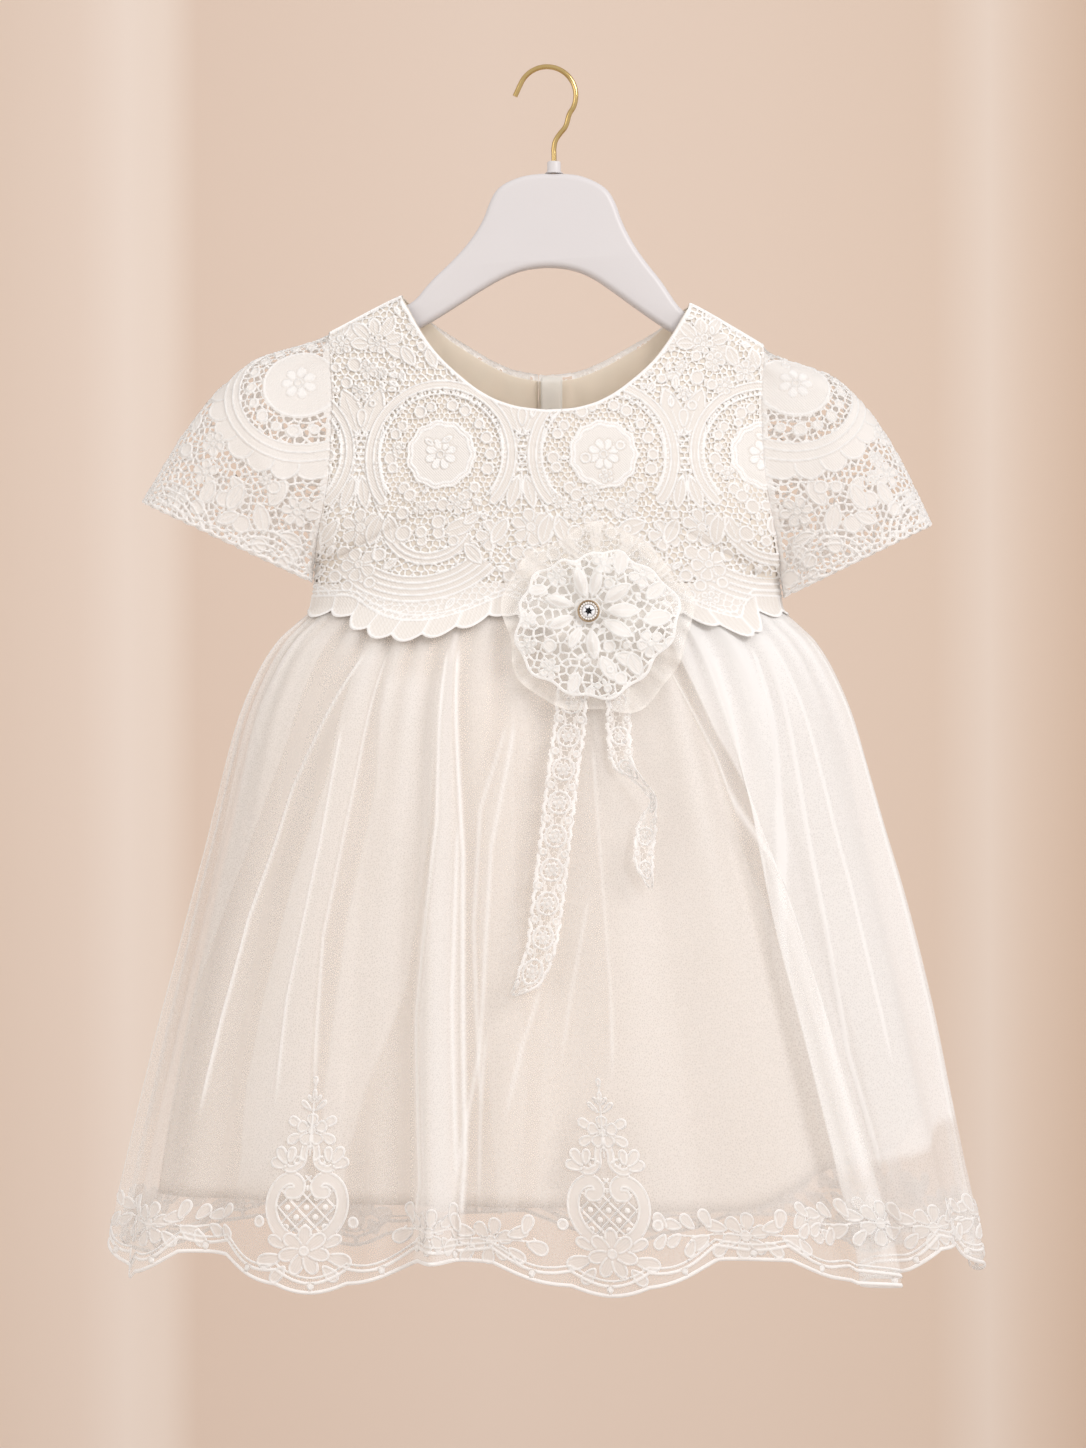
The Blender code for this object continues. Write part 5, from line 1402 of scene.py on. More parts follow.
# %% True length of cloth round the hem
ring_places = np.linspace(0, 4, 4001)
ring = overskirt_place(ring_places, np.full(4001, HEM_DROP - 30))
ring_walked = np.concatenate([[0], np.cumsum(np.sqrt(sum(np.diff(part) ** 2 for part in ring)))])
HEM_ROUND = ring_walked[-1] / 4     # mean cut width of the net for one unit of place
print("cut width of the net round the hem:", round(ring_walked[-1]))


def hem_length(cloth):
    return np.interp(cloth, ring_places, ring_walked)


def hem_place(length):
    return np.interp(length, ring_walked, ring_places)


# %% Hang the net
for name, first, columns, rows in (("front", 0.0, 690, 128), ("back", 2.0, 330, 60)):
    across = hem_place(steps(hem_length(first + 0.0008), hem_length(first + 1.9992), columns))
    share = np.concatenate([steps(0, 0.12, rows // 4), steps(0.12, 1, rows - rows // 4)[1:]])
    cloth, part = np.meshgrid(across, share)
    drop = hem_drop(cloth) * part
    lift = overskirt_lift(cloth, drop)
    flank = np.abs(np.gradient(lift, across, axis=1)) / 300.0
    bare = ease((drop - WAIST + under_hem(cloth) + 3) / 6)      # below the satin only net is left
    net_density_and_painted_light = np.clip(0.10 * flank, 0, 0.22) + 0.22 * np.exp(-drop / 8)
    # Whiter on the gathers' ridges and creamier in their valleys: painted light and painted shade.
    net_density_and_painted_light = net_density_and_painted_light + 0.11 * gather_lift(cloth, drop)
    # Double net and its edges, with painted light in the right panel's broad stretch.
    net_density_and_painted_light = net_density_and_painted_light + whiter(cloth, drop, HEM_ROUND) * (1 - 0.6 * bare)
    mesh = cloth_grid(across, share, lambda c, s: overskirt_place(c, hem_drop(c) * s),
                      lambda c, s: (hem_length(c), HEM_DROP * s), True, {"net_density_and_painted_light": net_density_and_painted_light})
    keep(f"net_overskirt_{name}", mesh, SKIRT_NET, f"overskirt_{name}")

# %% [markdown]
# ## Satin underskirt
# Heavier cloth, so its folds are broader and softer. Its lower edge shows through the
# net, and it is hitched up on the right.

# %% Hang the satin
UNDER = [(0, 0, 0), (9, 1.6, 1), (18, 3, 2), (35, 4.5, 3), (59, 6, 4), (118, 8, 6), (184, 9, 8),
         (246, 10.5, 10), (345, 16, 13)]      # drop, less at the side, less at the front
under_side, under_front = curve_through(UNDER, 1), curve_through(UNDER, 2)


def underskirt_place(cloth, share):
    drop = (WAIST - under_hem(cloth)) * share
    lift = -SATIN_WALL / 2 + 0.35 * fold_lift(cloth, drop) * ease(drop / 60)
    lift = lift + 0.85 * gather_lift(cloth, drop)
    return skirt_spot(cloth, drop, under_side(drop), under_front(drop), lift)


for name, first, columns in (("front", 0.0, 200), ("back", 2.0, 120)):
    mesh = cloth_grid(steps(first + 0.001, first + 1.999, columns), steps(0, 1, 40),
                      underskirt_place,
                      lambda cloth, share: (HEM_ROUND * cloth, 305 * share), True)
    piece = keep(f"satin_underskirt_{name}", mesh, SKIRT_SATIN,
                 f"underskirt_{name}")
    give_wall(piece, SATIN_SHEET)

# %% [markdown]
# ## Embroidered hem
# The same kit draws the embroidery: cartouches with a lattice, a flower and a sprig
# above each, a garland of loops between them, and a double scalloped cord. It is
# corded outline with a sheer filling. Its flat width is the true length round the hem.

# %% Draw the hem
CARTOUCHES = [152, 328] + [float(hem_length(spot)) for spot in (2.42, 2.87, 3.32)]
GARLANDS = [60, 226, 266, 398, 474, 550, 612, 680,
            *(float(hem_length(spot)) for spot in (2.62, 3.08)),
            CARTOUCHES[-1] + 70, CARTOUCHES[-1] + 140, 1177]
SCROLL = [(6.5, 17.5), (12.5, 21.5), (17.0, 28), (18.8, 35.5), (17.2, 43), (12.5, 48), (7.0, 48.8),
          (3.9, 45.2), (5.2, 41.2), (8.8, 41.4)]
UPPER_SCROLL = [(1.8, 66.5), (3.6, 62), (3.2, 57.5), (5.4, 54), (10, 52.6), (13.6, 54.6)]
UPPER_CURL = [(3.2, 57.5), (6.4, 59.5), (8.6, 57.8), (7.6, 55.4), (5.6, 56)]


def smooth_line(points, side, cx, base=0.0):
    """Rounds a short list of points; side turns it over."""
    line = np.array([(cx + side * x, base + y) for x, y in points])
    for _ in range(2):
        between = np.stack([0.75 * line[:-1] + 0.25 * line[1:], 0.25 * line[:-1] + 0.75 * line[1:]],
                           axis=1)
        line = np.concatenate([line[:1], between.reshape(-1, 2), line[-1:]])
    return [tuple(point) for point in line]


def loops(lace, cx, base, side, rows):
    """Filled loops: place, height, turn, length and width of each."""
    for dx, dy, turn, length, width in rows:
        lace.petal(cx + side * dx, base + dy, turn if side > 0 else 180 - turn, 1.2 * length,
                   1.28 * width,
                   0.95, 1.2, 0.24)


def cartouche(lace, cx):
    """Two scrolls round a knotted lattice, a flower and a sprig over them, a daisy under."""
    at, x, y = lace.window(cx - 18, cx + 18, 14, 56)
    if x.size:
        inside = np.minimum(15.5 - np.hypot(x - cx, (y - 33.8) * 0.86), 50 - y)
        for slope in (-1, 1):
            across = np.abs(np.mod((x - cx) + slope * (y - 34.0), 9.6) - 4.8) / math.sqrt(2)
            depth = np.minimum(0.5 - across, inside)
            lace.lay(at, depth, 0.9 * np.sqrt(np.clip(depth / 0.5, 0, 1)))
        for i in range(-3, 4):
            for j in range(-4, 5):
                if (i + j) % 2 == 0 and math.hypot(4.8 * i, 4.1 * j + 1) < 14:
                    lace.disc(cx + 4.8 * i, 34.0 + 4.8 * j, 1.5, 0.95, 0.6, 0.95)
    for side in (-1, 1):
        lace.band(smooth_line(SCROLL, side, cx), 6.7, 0.95, 1.2, 0.26)
        lace.band(smooth_line(UPPER_SCROLL, side, cx), 4.0, 0.95, 1.15, 0.28)
        lace.cord(smooth_line(UPPER_CURL, side, cx), 1.4, 0.95)
        loops(lace, cx, 0, side, [(12.2, 54, 20, 7.8, 4.8), (12.0, 55.5, 58, 8.4, 5.0),
                                  (10.4, 56, 98, 7.0, 4.2),
                                  (9, 14, 30, 9, 5), (10.5, 9.5, -14, 11.5, 6.4),
                                  (9, 5, -48, 9, 5.4)])
        lace.disc(cx + side * 24.4, 26.5, 3.1, 0.98, 1.4, 0.3)
        loops(lace, cx, 72, side, [(5.2, 2.2, 28, 7.4, 4.6), (5.2, -1.4, -30, 7.4, 4.6)])
        lace.petal(cx + side * 1.0, 82.0, 90 - side * 48, 8.0, 3.4, 0.95, 1.1)
        lace.petal(cx + side * 0.8, 86.0, 90 - side * 36, 5.0, 2.6, 0.95, 1.1)
    lace.flower(cx, 72.5, 8.4, 5, 90, 1.05, 0.98)
    lace.cord([(cx, 60), (cx, 97)], 1.0, 0.9)
    lace.petal(cx, 87, 90, 6.0, 3.0, 0.95, 1.1)
    lace.petal(cx, 94.5, 90, 5.0, 3.2, 0.95, 1.1)
    for k in range(7):
        loops(lace, cx, 12.4, 1, [(0, 0, 90 + 360 / 7 * k, 10.8, 6.0)])
    lace.disc(cx, 12.4, 2.6, 0.95, 1.1, 0.4)


GARLAND_LOOPS = [  # from the flower out to one side: place, height, turn, length, width
    (8.5, 3, 14, 9.6, 5.6), (9.0, -3, -42, 9.0, 5.2), (17, 3.5, 68, 8.8, 5.6),
                 (18, -0.5, -24, 10.2, 6.4),
    (25.5, 3.5, 46, 8.6, 5.4), (26.5, -1.5, -60, 8.4, 5.2), (32.5, 5, 16, 8.4, 5.2),
                 (33.5, 1.5, -34, 8.4, 5.2),
    (41, 5, 50, 8.0, 5.0), (42, 2.0, -50, 8.0, 5.0), (49, 4.5, 5, 7.0, 4.6)]


def garland(lace, cx, base, room):
    """Flower with a chain of loops to both sides, as long as the room allows."""
    lace.flower(cx, base, 12.0, 6, 15, 1.0, 0.98)
    for side in (-1, 1):
        loops(lace, cx, base, side, [row for row in GARLAND_LOOPS if row[0] + 9 < room])
        lace.cord(smooth_line([(0, 0), (12, 1), (24, -0.5), (min(38.0, room - 8), 1.5)], side, cx,
                              base), 0.9, 0.6)


def draw_hem(left, right, pitch):
    """Embroidery for the stretch of hem between two lengths of cloth."""
    lace = LacePattern(left, right, -17, 101, pitch)
    for k, here in enumerate(GARLANDS):
        near = min(abs(here - other) for other in GARLANDS + CARTOUCHES if other != here)
        garland(lace, here, 21 + 3 * math.sin(2.0 * k), min(52.0, max(30.0, near - 12)))
    for here in CARTOUCHES:
        cartouche(lace, here)
    return lace


# %% Border cords, then hang each half
def edge_hem(lace):
    x, y = lace.x, lace.y
    cloth = hem_place(lace.across)
    turn = (cloth - HEM_MOTIF_AT) * HEM_MOTIFS / 4 * 2 * np.pi
    deep = DEEP_SCALLOP * np.cos(turn)
    lobe = np.abs(np.cos(turn * 2))
    low = -deep - SMALL_SCALLOP * (lobe - 0.5)
    high = -deep - 4.6 * (lobe - 0.5) + 7.0
    for line, width, rise in ((low + 1.1, 2.0, 0.98), (high, 1.8, 0.95), (high + 2.7, 1.2, 0.9)):
        slope = np.hypot(1, np.gradient(line, lace.pitch))
        rim = width / 2 - np.abs(y - line) / slope
        lace.ridge(rim, width / 2, rise)


def hang_hem(name, first, last, pitch):
    left, right = hem_length(first), hem_length(last)
    lace = draw_hem(left, right, pitch)
    edge_hem(lace)
    for k in range(4 * HEM_MOTIFS):      # a knot in each small scallop
        cloth = np.mod(HEM_MOTIF_AT + k / HEM_MOTIFS, 4)
        turn = (cloth - HEM_MOTIF_AT) * HEM_MOTIFS / 4 * 2 * math.pi
        lace.disc(hem_length(cloth), 3.0 - DEEP_SCALLOP * math.cos(turn), 1.7, 0.95, 0.9, 0.7)
    lace.trim(lace.x - left, right - lace.x)

    def place(u, v, relief):
        return overskirt_place(hem_place(u), HEM_DROP - v, 0.35 + relief)

    lace_piece(name, lace, place, EMBROIDERY_YARN)


hang_hem("hem_embroidery_front", 0.004, 1.996, 0.52)
hang_hem("hem_embroidery_back", 2.004, 3.996, 0.9)


# %% [markdown]
# ## Flower, button and tails
# A ruffle of net lies under a gathered round of lace, with a jewelled button in the
# middle. The lace is folded at the button, so it rises in soft domes between the folds.

# %% What the flower lies on
def front_cover(x, z):
    width = form_width(z)
    depth = form_depth(z) * half_outline(x / width, form_corner(z))
    over = lace_stand(z) + LACE_WALL
    drop = WAIST - z
    around = 1 + np.arcsin(np.clip(x / width, -1, 1)) * 2 / np.pi
    lift = np.maximum.reduce([fold_lift(around + nudge, np.clip(drop, 0, None))
                              for nudge in (-0.05, -0.025, 0, 0.025, 0.05)])
    skirt = LAYER_GAP + TULLE_WALL + np.where(drop > 0, 2.0 * (1 - ease((drop - 12) / 218)) + lift,
                                              0)
    return -(depth + np.maximum(over * ease((z + 326) / 32), skirt))


BUTTON_X, BUTTON_Z, RUFFLE_X, RUFFLE_Z, BUTTON_RADIUS = 21.3, -287.0, 25.6, -291.5, 5.75
FLOWER = [(0, 29), (45, 37), (90, 46), (135, 44), (180, 45), (225, 42), (270, 37), (315, 31),
          (360, 29)]
flower_reach = curve_through(FLOWER, 1)
seat_turns = np.radians(np.arange(0, 360, 30))
FLOWER_SEAT = front_cover(BUTTON_X + 9.75 * np.sin(seat_turns),
                          BUTTON_Z + 9.75 * np.cos(seat_turns)).min() - LAYER_GAP


def ruffle_place(turn, share):
    """Net gathered round the button; it waves more and more towards its edge."""
    angle = np.radians(turn)
    reach = 2.5 + (46.0 + 2.0 * np.sin(angle * 5 + 1) + 1.2 * np.sin(angle * 9 + 2)) * share
    slide = ease(share / 0.5)
    x = BUTTON_X + (RUFFLE_X - BUTTON_X) * slide + reach * np.sin(angle)
    z = BUTTON_Z + (RUFFLE_Z - BUTTON_Z) * slide + reach * np.cos(angle)
    wave = 2.2 * share ** 2 * (1 + np.cos(angle * 13 + 2 * np.sin(angle * 3))) / 2
    wave = wave + 0.8 * share ** 2 * np.cos(angle * 29 + 3 * share)
    spread = front_cover(x, z) - LAYER_GAP - 2.6 - wave - 2.0 * ease((0.8 - share) / 0.6)
    rise = ease((reach - 6.5) / 10)
    return x, FLOWER_SEAT * (1 - rise) + (spread - 0.5) * rise, z


turns, shares = steps(0, 360, 300), steps(0, 1, 26)
grid_turn, grid_share = np.meshgrid(turns, shares)
net_density_and_painted_light = 0.02 + 0.17 * np.exp(-((1 - grid_share) / 0.035) ** 2) + 0.45 * ease((0.75 - grid_share)
                                                                             / 0.3)
waves = np.cos(np.radians(grid_turn * 13) + 2 * np.sin(np.radians(grid_turn * 3)))
net_density_and_painted_light = net_density_and_painted_light + 0.22 * np.clip(waves, 0, 1) * grid_share
mesh = cloth_grid(turns, shares, ruffle_place, lambda t, share: (0.75 * t, 48 * share), False,
                  {"net_density_and_painted_light": net_density_and_painted_light})
work = bmesh.new()
work.from_mesh(mesh)
bmesh.ops.remove_doubles(work, verts=work.verts[:], dist=0.00002)
work.to_mesh(mesh)
work.free()
piece = keep("net_ruffle", mesh, RUFFLE_NET, "flower_tulle_ruffle")

# %% Lace flower
UNDER_FLOWER = TULLE_WALL + 2 * LAYER_GAP + LACE_WALL / 2


FLOWER_FOLDS = [  # rolled folds out of the button: turn from the top, half breadth, height
    (338, 15, 5.4), (12, 14, 5.0), (48, 20, 3.4), (86, 20, 4.6), (124, 20, 3.4), (168, 15, 5.4),
    (212, 18, 4.0), (246, 15, 5.2), (284, 18, 4.6)]


def flower_fold(angle, reach):
    degrees = np.degrees(angle)
    lift = np.zeros_like(degrees)
    for turn, half, height in FLOWER_FOLDS:
        near = np.mod(degrees - turn - 6 * np.sin(reach / 9) + 180, 360) - 180
        lift = np.maximum(lift, height * bump(near / half))
    return lift * ease((reach - 3) / 7) * (1 - 0.75 * ease((reach - 14) / 16))


def flower_place(x, z, relief):
    angle = np.arctan2(x - BUTTON_X, z - BUTTON_Z)
    reach = np.hypot(x - BUTTON_X, z - BUTTON_Z)
    share = np.clip((reach - 2.5) / (flower_reach(np.degrees(angle) % 360) - 2.5), 0, 1.1)
    soft = 0.9 * np.cos(angle * 5 + 1.5) * share + 0.5 * np.cos(angle * 11) * share ** 2
    dome = 3.6 * bump((share - 0.55) / 0.75) + 2.2 + soft + flower_fold(angle, reach)
    spread = front_cover(x, z) - LAYER_GAP - 3.2 - UNDER_FLOWER - dome
    rise = ease((reach - 6.5) / 10)
    y = (FLOWER_SEAT - UNDER_FLOWER) * (1 - rise) + spread * rise
    return x, y - relief, z


lace = LacePattern(BUTTON_X - 42, BUTTON_X + 50, BUTTON_Z - 50, BUTTON_Z + 36, 0.52)
x, y = lace.x, lace.y
angle, reach = np.arctan2(x - BUTTON_X, y - BUTTON_Z), np.hypot(x - BUTTON_X, y - BUTTON_Z)
limit = flower_reach(np.degrees(angle) % 360) + 1.1 * np.cos(angle * 13) + 1.3 * np.sin(angle * 5)
lace.net(4.9, 1.0, 0.62, 31, 0.36)
FLOWER_MOTIFS = [  # kind, turn from the top, how far out, way it points, size, width
    ("leaf", 345, 7, 105, 17, 7.0), ("leaf", 14, 7, 76, 16, 6.5), ("leaf", 290, 8, 165, 16, 6.5),
    ("leaf", 250, 8, 205, 15, 6.5), ("leaf", 172, 9, 276, 17, 7.0), ("leaf", 205, 9, 240, 13, 6.0),
    ("leaf", 88, 9, 0, 18, 8.0), ("leaf", 60, 9, 35, 17, 8.0), ("leaf", 122, 9, -30, 17, 8.0),
    ("rosette", 228, 27, 0, 3.6, 0), ("leaf", 165, 24, -60, 15, 8.0),
                 ("leaf", 150, 26, -20, 15, 8.0),
    ("leaf", 190, 32, 250, 12, 6.5), ("flower", 214, 36, 5, 5.5, 0), ("flower", 240, 36, 5, 5.0, 0),
    ("flower", 262, 32, 5, 5.0, 0), ("leaf", 135, 30, -70, 13, 8.0), ("flower", 118, 36, 5, 7.5, 0),
    ("leaf", 100, 28, 10, 16, 9.0), ("leaf", 78, 30, 40, 14, 8.0), ("flower", 55, 34, 5, 7.5, 0),
    ("leaf", 40, 24, 80, 14, 8.0), ("flower", 18, 26, 5, 6.0, 0), ("leaf", 350, 24, 140, 11, 6.5),
    ("flower", 318, 24, 5, 5.5, 0), ("leaf", 300, 24, 190, 11, 6.0), ("leaf", 178, 38, 260, 8, 5.0)]
for kind, turn, out, way, size, wide in FLOWER_MOTIFS:
    fx = BUTTON_X + out * math.sin(math.radians(turn))
    fy = BUTTON_Z + out * math.cos(math.radians(turn))
    lace.motif(kind, fx, fy, way, size, wide, turn)
scatter(lace, BUTTON_X - 5, BUTTON_X + 48, BUTTON_Z - 40, BUTTON_Z + 33, 33, 8.0, 260)
edge = 0.8 - np.abs(limit - reach - 0.8)
lace.ridge(edge, 0.8, 0.6)
eye = np.clip(6.5 - reach, -4, 4)
lace.lay(EVERYWHERE, eye, 0.45 + 0.25 * np.cos(angle * 18))
lace.trim(limit - reach, reach - 2.5)
flower_lace = lace_piece("lace_flower", lace, flower_place, THIN_LACE_YARN_PAINTED_LIGHTER,
                         "flower_lace")


# %% Button: bronze rim, ring of pearls, crystal with a painted dark reflection star
def turned(name, section, finish, solid, steps_round, location, axis="Y"):
    """Spins a closed section round an axis; section rows are radius and height."""
    work = bmesh.new()
    spots = [(radius, -height, 0) if axis == "Y" else (radius, 0, height) for radius,
             height in section]
    corners = [work.verts.new([number * MM for number in spot]) for spot in spots]
    edges = [work.edges.new(pair) for pair in zip(corners, corners[1:] + corners[:1])]
    bmesh.ops.spin(work, geom=corners + edges, cent=(0, 0, 0), dvec=(0, 0, 0), angle=math.tau,
                   axis=(0, 1, 0) if axis == "Y" else (0, 0, 1), steps=steps_round, use_merge=True)
    bmesh.ops.remove_doubles(work, verts=work.verts[:], dist=0.000001)
    bmesh.ops.recalc_face_normals(work, faces=work.faces[:])
    bmesh.ops.translate(work, vec=[c * MM for c in location], verts=work.verts[:])
    return keep(name, mesh_from(work, name), finish, solid)


seat_y = FLOWER_SEAT - UNDER_FLOWER - LACE_WALL / 2 - LAYER_GAP
R = BUTTON_RADIUS
round_rim = [(R - 2.2, 0.1), (R - 0.3, 0.1), (R, 0.7), (R - 0.03, 1.6), (R - 0.3, 2.1),
             (R - 0.62, 2.2),
             (R - 0.85, 1.9), (R - 0.95, 1.3), (R - 2.2, 1.2)]
turned("button_rim", round_rim, BRONZE, "flower_button_rim", 64,
       (BUTTON_X, seat_y, BUTTON_Z))
work = bmesh.new()
for k in range(20):
    angle = 2 * math.pi * k / 20
    pearl = bmesh.ops.create_uvsphere(work, u_segments=12, v_segments=8, radius=0.66 * MM)
    px, pz = on_circle(BUTTON_X, BUTTON_Z, 4.15, angle)
    bmesh.ops.translate(work, vec=(px * MM, (seat_y - 1.75) * MM, pz * MM), verts=pearl["verts"])
keep("button_pearls", mesh_from(work, "button_pearls"), PEARL)

cut_stone = [(0.01, 0.3), (3.45, 0.3), (3.45, 1.5), (2.8, 2.2), (1.9, 2.55), (0.01, 2.65)]
stone = turned("button_crystal", cut_stone, CRYSTAL, "flower_crystal", 12,
               (BUTTON_X, seat_y, BUTTON_Z))
stone.data.shade_flat()
# A dark six-armed star just over the crystal: a painted dark reflection of the cut stone.
work = bmesh.new()
for k in range(6):
    angle, arm = math.radians(75 + 60 * k), 2.6 + 0.25 * (k % 2)
    tip = [on_circle(0, 0, arm, angle), on_circle(0, 0, 1.35, angle + 0.5), (0, 0),
           on_circle(0, 0, 1.35, angle - 0.5)]
    corners = [work.verts.new(((BUTTON_X + px) * MM, (seat_y - 2.72 + 0.09 * math.hypot(px, py))
                               * MM,
                               (BUTTON_Z + py) * MM)) for px, py in tip]
    work.faces.new(corners[::-1])
bmesh.ops.solidify(work, geom=work.faces[:], thickness=0.00008)
keep("button_painted_reflection_star", mesh_from(work, "button_painted_reflection_star"), PAINTED_DARK_REFLECTION)

# %% Tails
LONG_TAIL = [(-482, -17.5, 3, 0), (-472, -8.5, 15, 4), (-458, -3.0, 17, 12), (-436, 0.2, 18, -6),
             (-403, 4.2, 18, 10), (-366, 8.6, 18, -8), (-345, 11.6, 18, 2), (-326, 13.0, 17, 0)]
SHORT_TAIL = [(-428, 52.5, 3, 0), (-412, 49.0, 12, -12), (-396, 50.8, 12, 25), (-384, 54.0, 9, 66),
              (-374, 47.0, 10, 62), (-362, 37.5, 14, 18), (-345, 36.5, 14, -4), (-326, 36.0, 13, 0)]


def hang_tail(name, rows, wide):
    """Narrow lace with a scalloped edge on both sides and round flowers down the middle."""
    low, top = rows[0][0], rows[-1][0]
    read_x, read_width, read_turn = (curve_through(rows, column) for column in (1, 2, 3))
    lace = LacePattern(-wide / 2, wide / 2, low, top, 0.5)
    x, y = lace.x, lace.y
    lace.net(3.3, 0.5, 0.3, 41)
    for side in (-1, 1):
        wave = wide / 2 - 1.0 + 0.9 * np.abs(np.sin(np.pi * (y - low) / 6.5)) - 0.9
        rim = 0.9 - np.abs(side * x - wave + 0.4)
        lace.ridge(rim, 1, 0.9)
        vine = 0.55 - np.abs(side * x - 3.6 - 1.2 * np.sin(2 * np.pi * y / 17))
        lace.ridge(vine, 1, 0.6)
    for k in range(int((top - low) / 17) + 1):
        lace.cord(arc(0, top - 8 - 17 * k, wide * 0.31, 0, 360), 0.95, 0.9)
        lace.flower(0, top - 8 - 17 * k, wide * 0.2, 6, 12)
        for side in (-1, 1):
            lace.disc(side * wide * 0.3, top - 16.5 - 17 * k, wide * 0.11, 0.8)
    scallop = 0.7 * np.abs(np.sin(np.pi * (y - low) / 6.5))
    lace.trim(wide / 2 - np.abs(x) - 0.35 + scallop - 0.35, y - low, top - y)

    def place(u, v, relief):
        share, width, turn = 2 * u / wide, read_width(v), np.radians(read_turn(v))
        lean = np.arctan((read_x(v + 1) - read_x(v - 1)) / 2)
        side = share * width / 2
        reach = side * np.cos(turn)
        rise = side * np.sin(turn) + width / 2 * np.abs(np.sin(turn))
        spot_x, spot_z = read_x(v) + reach * np.cos(lean), v - reach * np.sin(lean)
        cover = np.minimum.reduce([front_cover(spot_x + n, spot_z) for n in (-8, -4, 0, 4, 8)])
        tuck = 3.0 * ease((v - top + 24) / 20)
        return spot_x, cover - LAYER_GAP - 0.5 - rise - tuck - relief, spot_z

    piece = lace_piece("lace_" + name, lace, place, EMBROIDERY_YARN, name)


hang_tail("tail_long", LONG_TAIL, 18.0)
hang_tail("tail_short", SHORT_TAIL, 14.0)

# %% [markdown]
# ## Hanger
# A moulded board with broad rounded edges, a small collar and a gold wire hook. The
# outline is drawn once, filled, extruded and bevelled, which is how such a shape is
# made quickest; the hook is a round wire swept along a smooth line.

# %% Moulding
HANGER_OUTSIDE = [(-55.2, -7, 13.5), (-58, -18, 23), (-63, -26.5, 31.8), (-71, -30.6, 36.4),
                  (-80, -33.6, 39.2), (-92, -41.3, 45.2), (-103, -51.6, 53.0), (-112, -61.5, 60.5)]
HANGER_ARCH = [(-104.3, 1, 1), (-105.6, -11.5, 13), (-109.6, -22.5, 23.5), (-116.5, -34.5, 33.5),
               (-126, -49, 46.5), (-136.5, -66, 61.5)]
ARM_TOPS = (71, 80, 88, 95)
ARM_END = [(101.5, 1.5), (104.0, 6.5), (99.0, 13.0), (90, 15.6), (79, 17.2)]


def arm_top(x):
    return float(shoulder_ridge(x) - SATIN_WALL - 1.1 - 2.6 * bump((abs(x) - 71) / 8))


right = [(row[2], row[0]) for row in HANGER_OUTSIDE] + [(x, arm_top(x)) for x in ARM_TOPS]
right += [(x, arm_top(x) - depth) for x, depth in ARM_END] + [(row[2], row[0])
                                                              for row in HANGER_ARCH[::-1]]
left = [(row[1], row[0]) for row in HANGER_OUTSIDE] + [(-x, arm_top(-x)) for x in ARM_TOPS]
left += [(-x, arm_top(-x) - depth) for x, depth in ARM_END] + [(row[1], row[0])
                                                               for row in HANGER_ARCH[:0:-1]]
outline = np.array(right + left[::-1])
for _ in range(2):      # corner cutting rounds the outline
    ahead = np.roll(outline, -1, axis=0)
    outline = np.stack([0.75 * outline + 0.25 * ahead, 0.25 * outline + 0.75 * ahead],
                       axis=1).reshape(-1, 2)
work = bmesh.new()
board = work.faces.new([work.verts.new((x * MM, -0.005, z * MM)) for x, z in outline])
grown = bmesh.ops.extrude_face_region(work, geom=[board])
bmesh.ops.translate(work, vec=(0, 0.010, 0),
                    verts=[v for v in grown["geom"] if isinstance(v, bmesh.types.BMVert)])
bmesh.ops.recalc_face_normals(work, faces=work.faces[:])
sharp = [edge for edge in work.edges if edge.calc_face_angle(0) > 1.0]
bmesh.ops.bevel(work, geom=sharp, offset=0.0034, offset_type="OFFSET", segments=6, profile=0.5,
                affect="EDGES", material=-1, clamp_overlap=True)
moulding = mesh_from(work, "hanger_moulding")
keep("hanger_moulding", moulding, PLASTIC, "hanger_body")

# %% Collar
STEM_X = 3.7
neck_ring = [(1.7, -48.6), (2.9, -48.6), (3.4, -48.9), (3.6, -49.4), (3.6, -53.6),
             (4.0, -54.2), (4.8, -54.9), (1.7, -54.9)]
turned("hanger_neck_ring", neck_ring, PLASTIC, "hanger_collar", 40,
       (STEM_X, 0, 0), "Z")

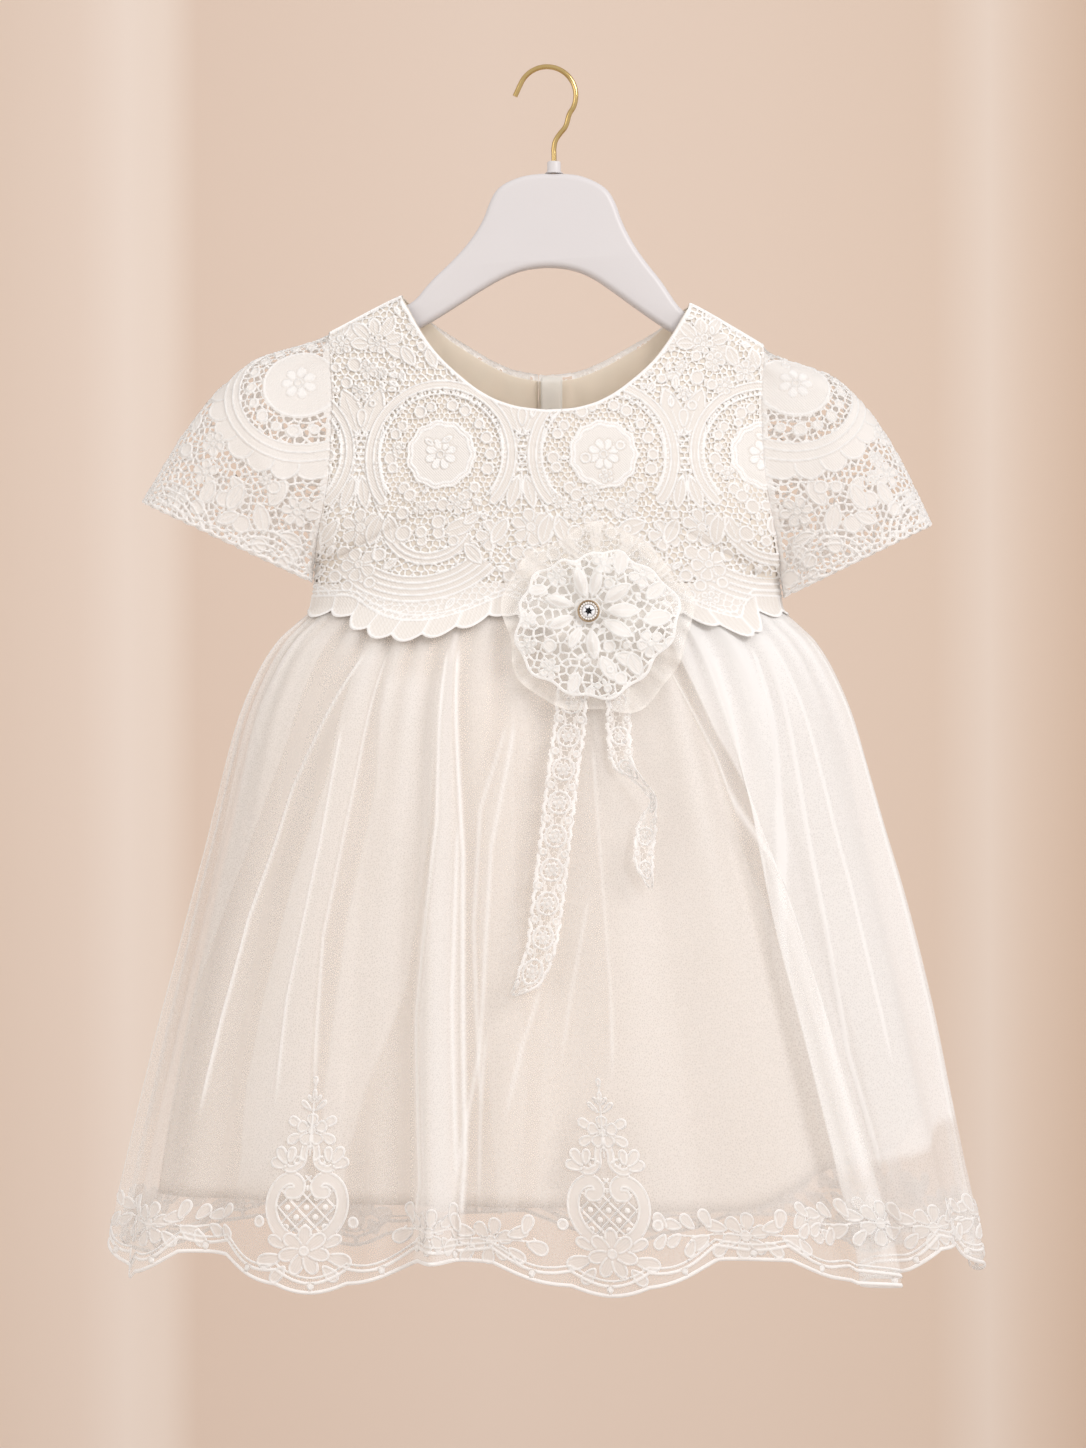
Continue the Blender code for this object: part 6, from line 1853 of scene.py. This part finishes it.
# %% Hook
WIRE, HOOK_RADIUS = 1.35, 15.2
middle = WIRE - HOOK_RADIUS
points = [(-16.9, middle - 0.4), (-15.6, middle + 2.4)]
points += [on_circle(0, middle, HOOK_RADIUS, math.radians(t)) for t in range(158, -39, -14)]
points += [(9.6, -30.4), (6.8, -34.0), (4.6, -37.4), (STEM_X, -41.2), (STEM_X, -46.0),
           (STEM_X, -54.9)]
curve = bpy.data.curves.new("wire", "CURVE")
curve.dimensions, curve.use_fill_caps, curve.resolution_u = "3D", True, 8
curve.bevel_depth, curve.bevel_resolution = WIRE * MM, 6
line = curve.splines.new("BEZIER")
line.bezier_points.add(len(points) - 1)
for spot, (x, z) in zip(line.bezier_points, points):
    spot.co = (x * MM, 0, z * MM)
    spot.handle_left_type = spot.handle_right_type = "AUTO"
wire = bpy.data.objects.new("hook_wire", curve)
collection.objects.link(wire)
curve.materials.append(GOLD)
dress(wire, "hanger_hook")

# %% Back buttons keep their solids and take a pearl finish and a thread shank
SHANK_RADIUS, SHANK_LONG, SHANK_IN = 1.3, 4.6, 2.6
for number in (1, 2, 3):
    button = frame["nodes"][f"back_button_{number}"]
    button.data.materials.clear()
    button.data.materials.append(PEARL)
    spots = [button.matrix_world @ vertex.co for vertex in button.data.vertices]
    middle = sum(spots, Vector()) / len(spots)
    work = bmesh.new()
    behind = Matrix.Translation(middle - Vector((0, SHANK_IN * MM, 0)))
    bmesh.ops.create_cone(work, cap_ends=True, segments=16, radius1=SHANK_RADIUS * MM,
                          radius2=SHANK_RADIUS * MM, depth=SHANK_LONG * MM,
                          matrix=behind @ Matrix.Rotation(math.pi / 2, 4, "X"))
    shank = mesh_from(work, f"button_shank_{number}")
    keep(shank.name, shank, PEARL)

# %% [markdown]
# ## Count the triangles
# The dressed part may stand proud of the solids only by a hair.

# %% Triangles, end
bpy.context.view_layer.update()
total = sum(sum(len(p.vertices) - 2 for p in piece.data.polygons) for piece in made.values())
print("pieces:", len(made), "triangles before walls:", total)
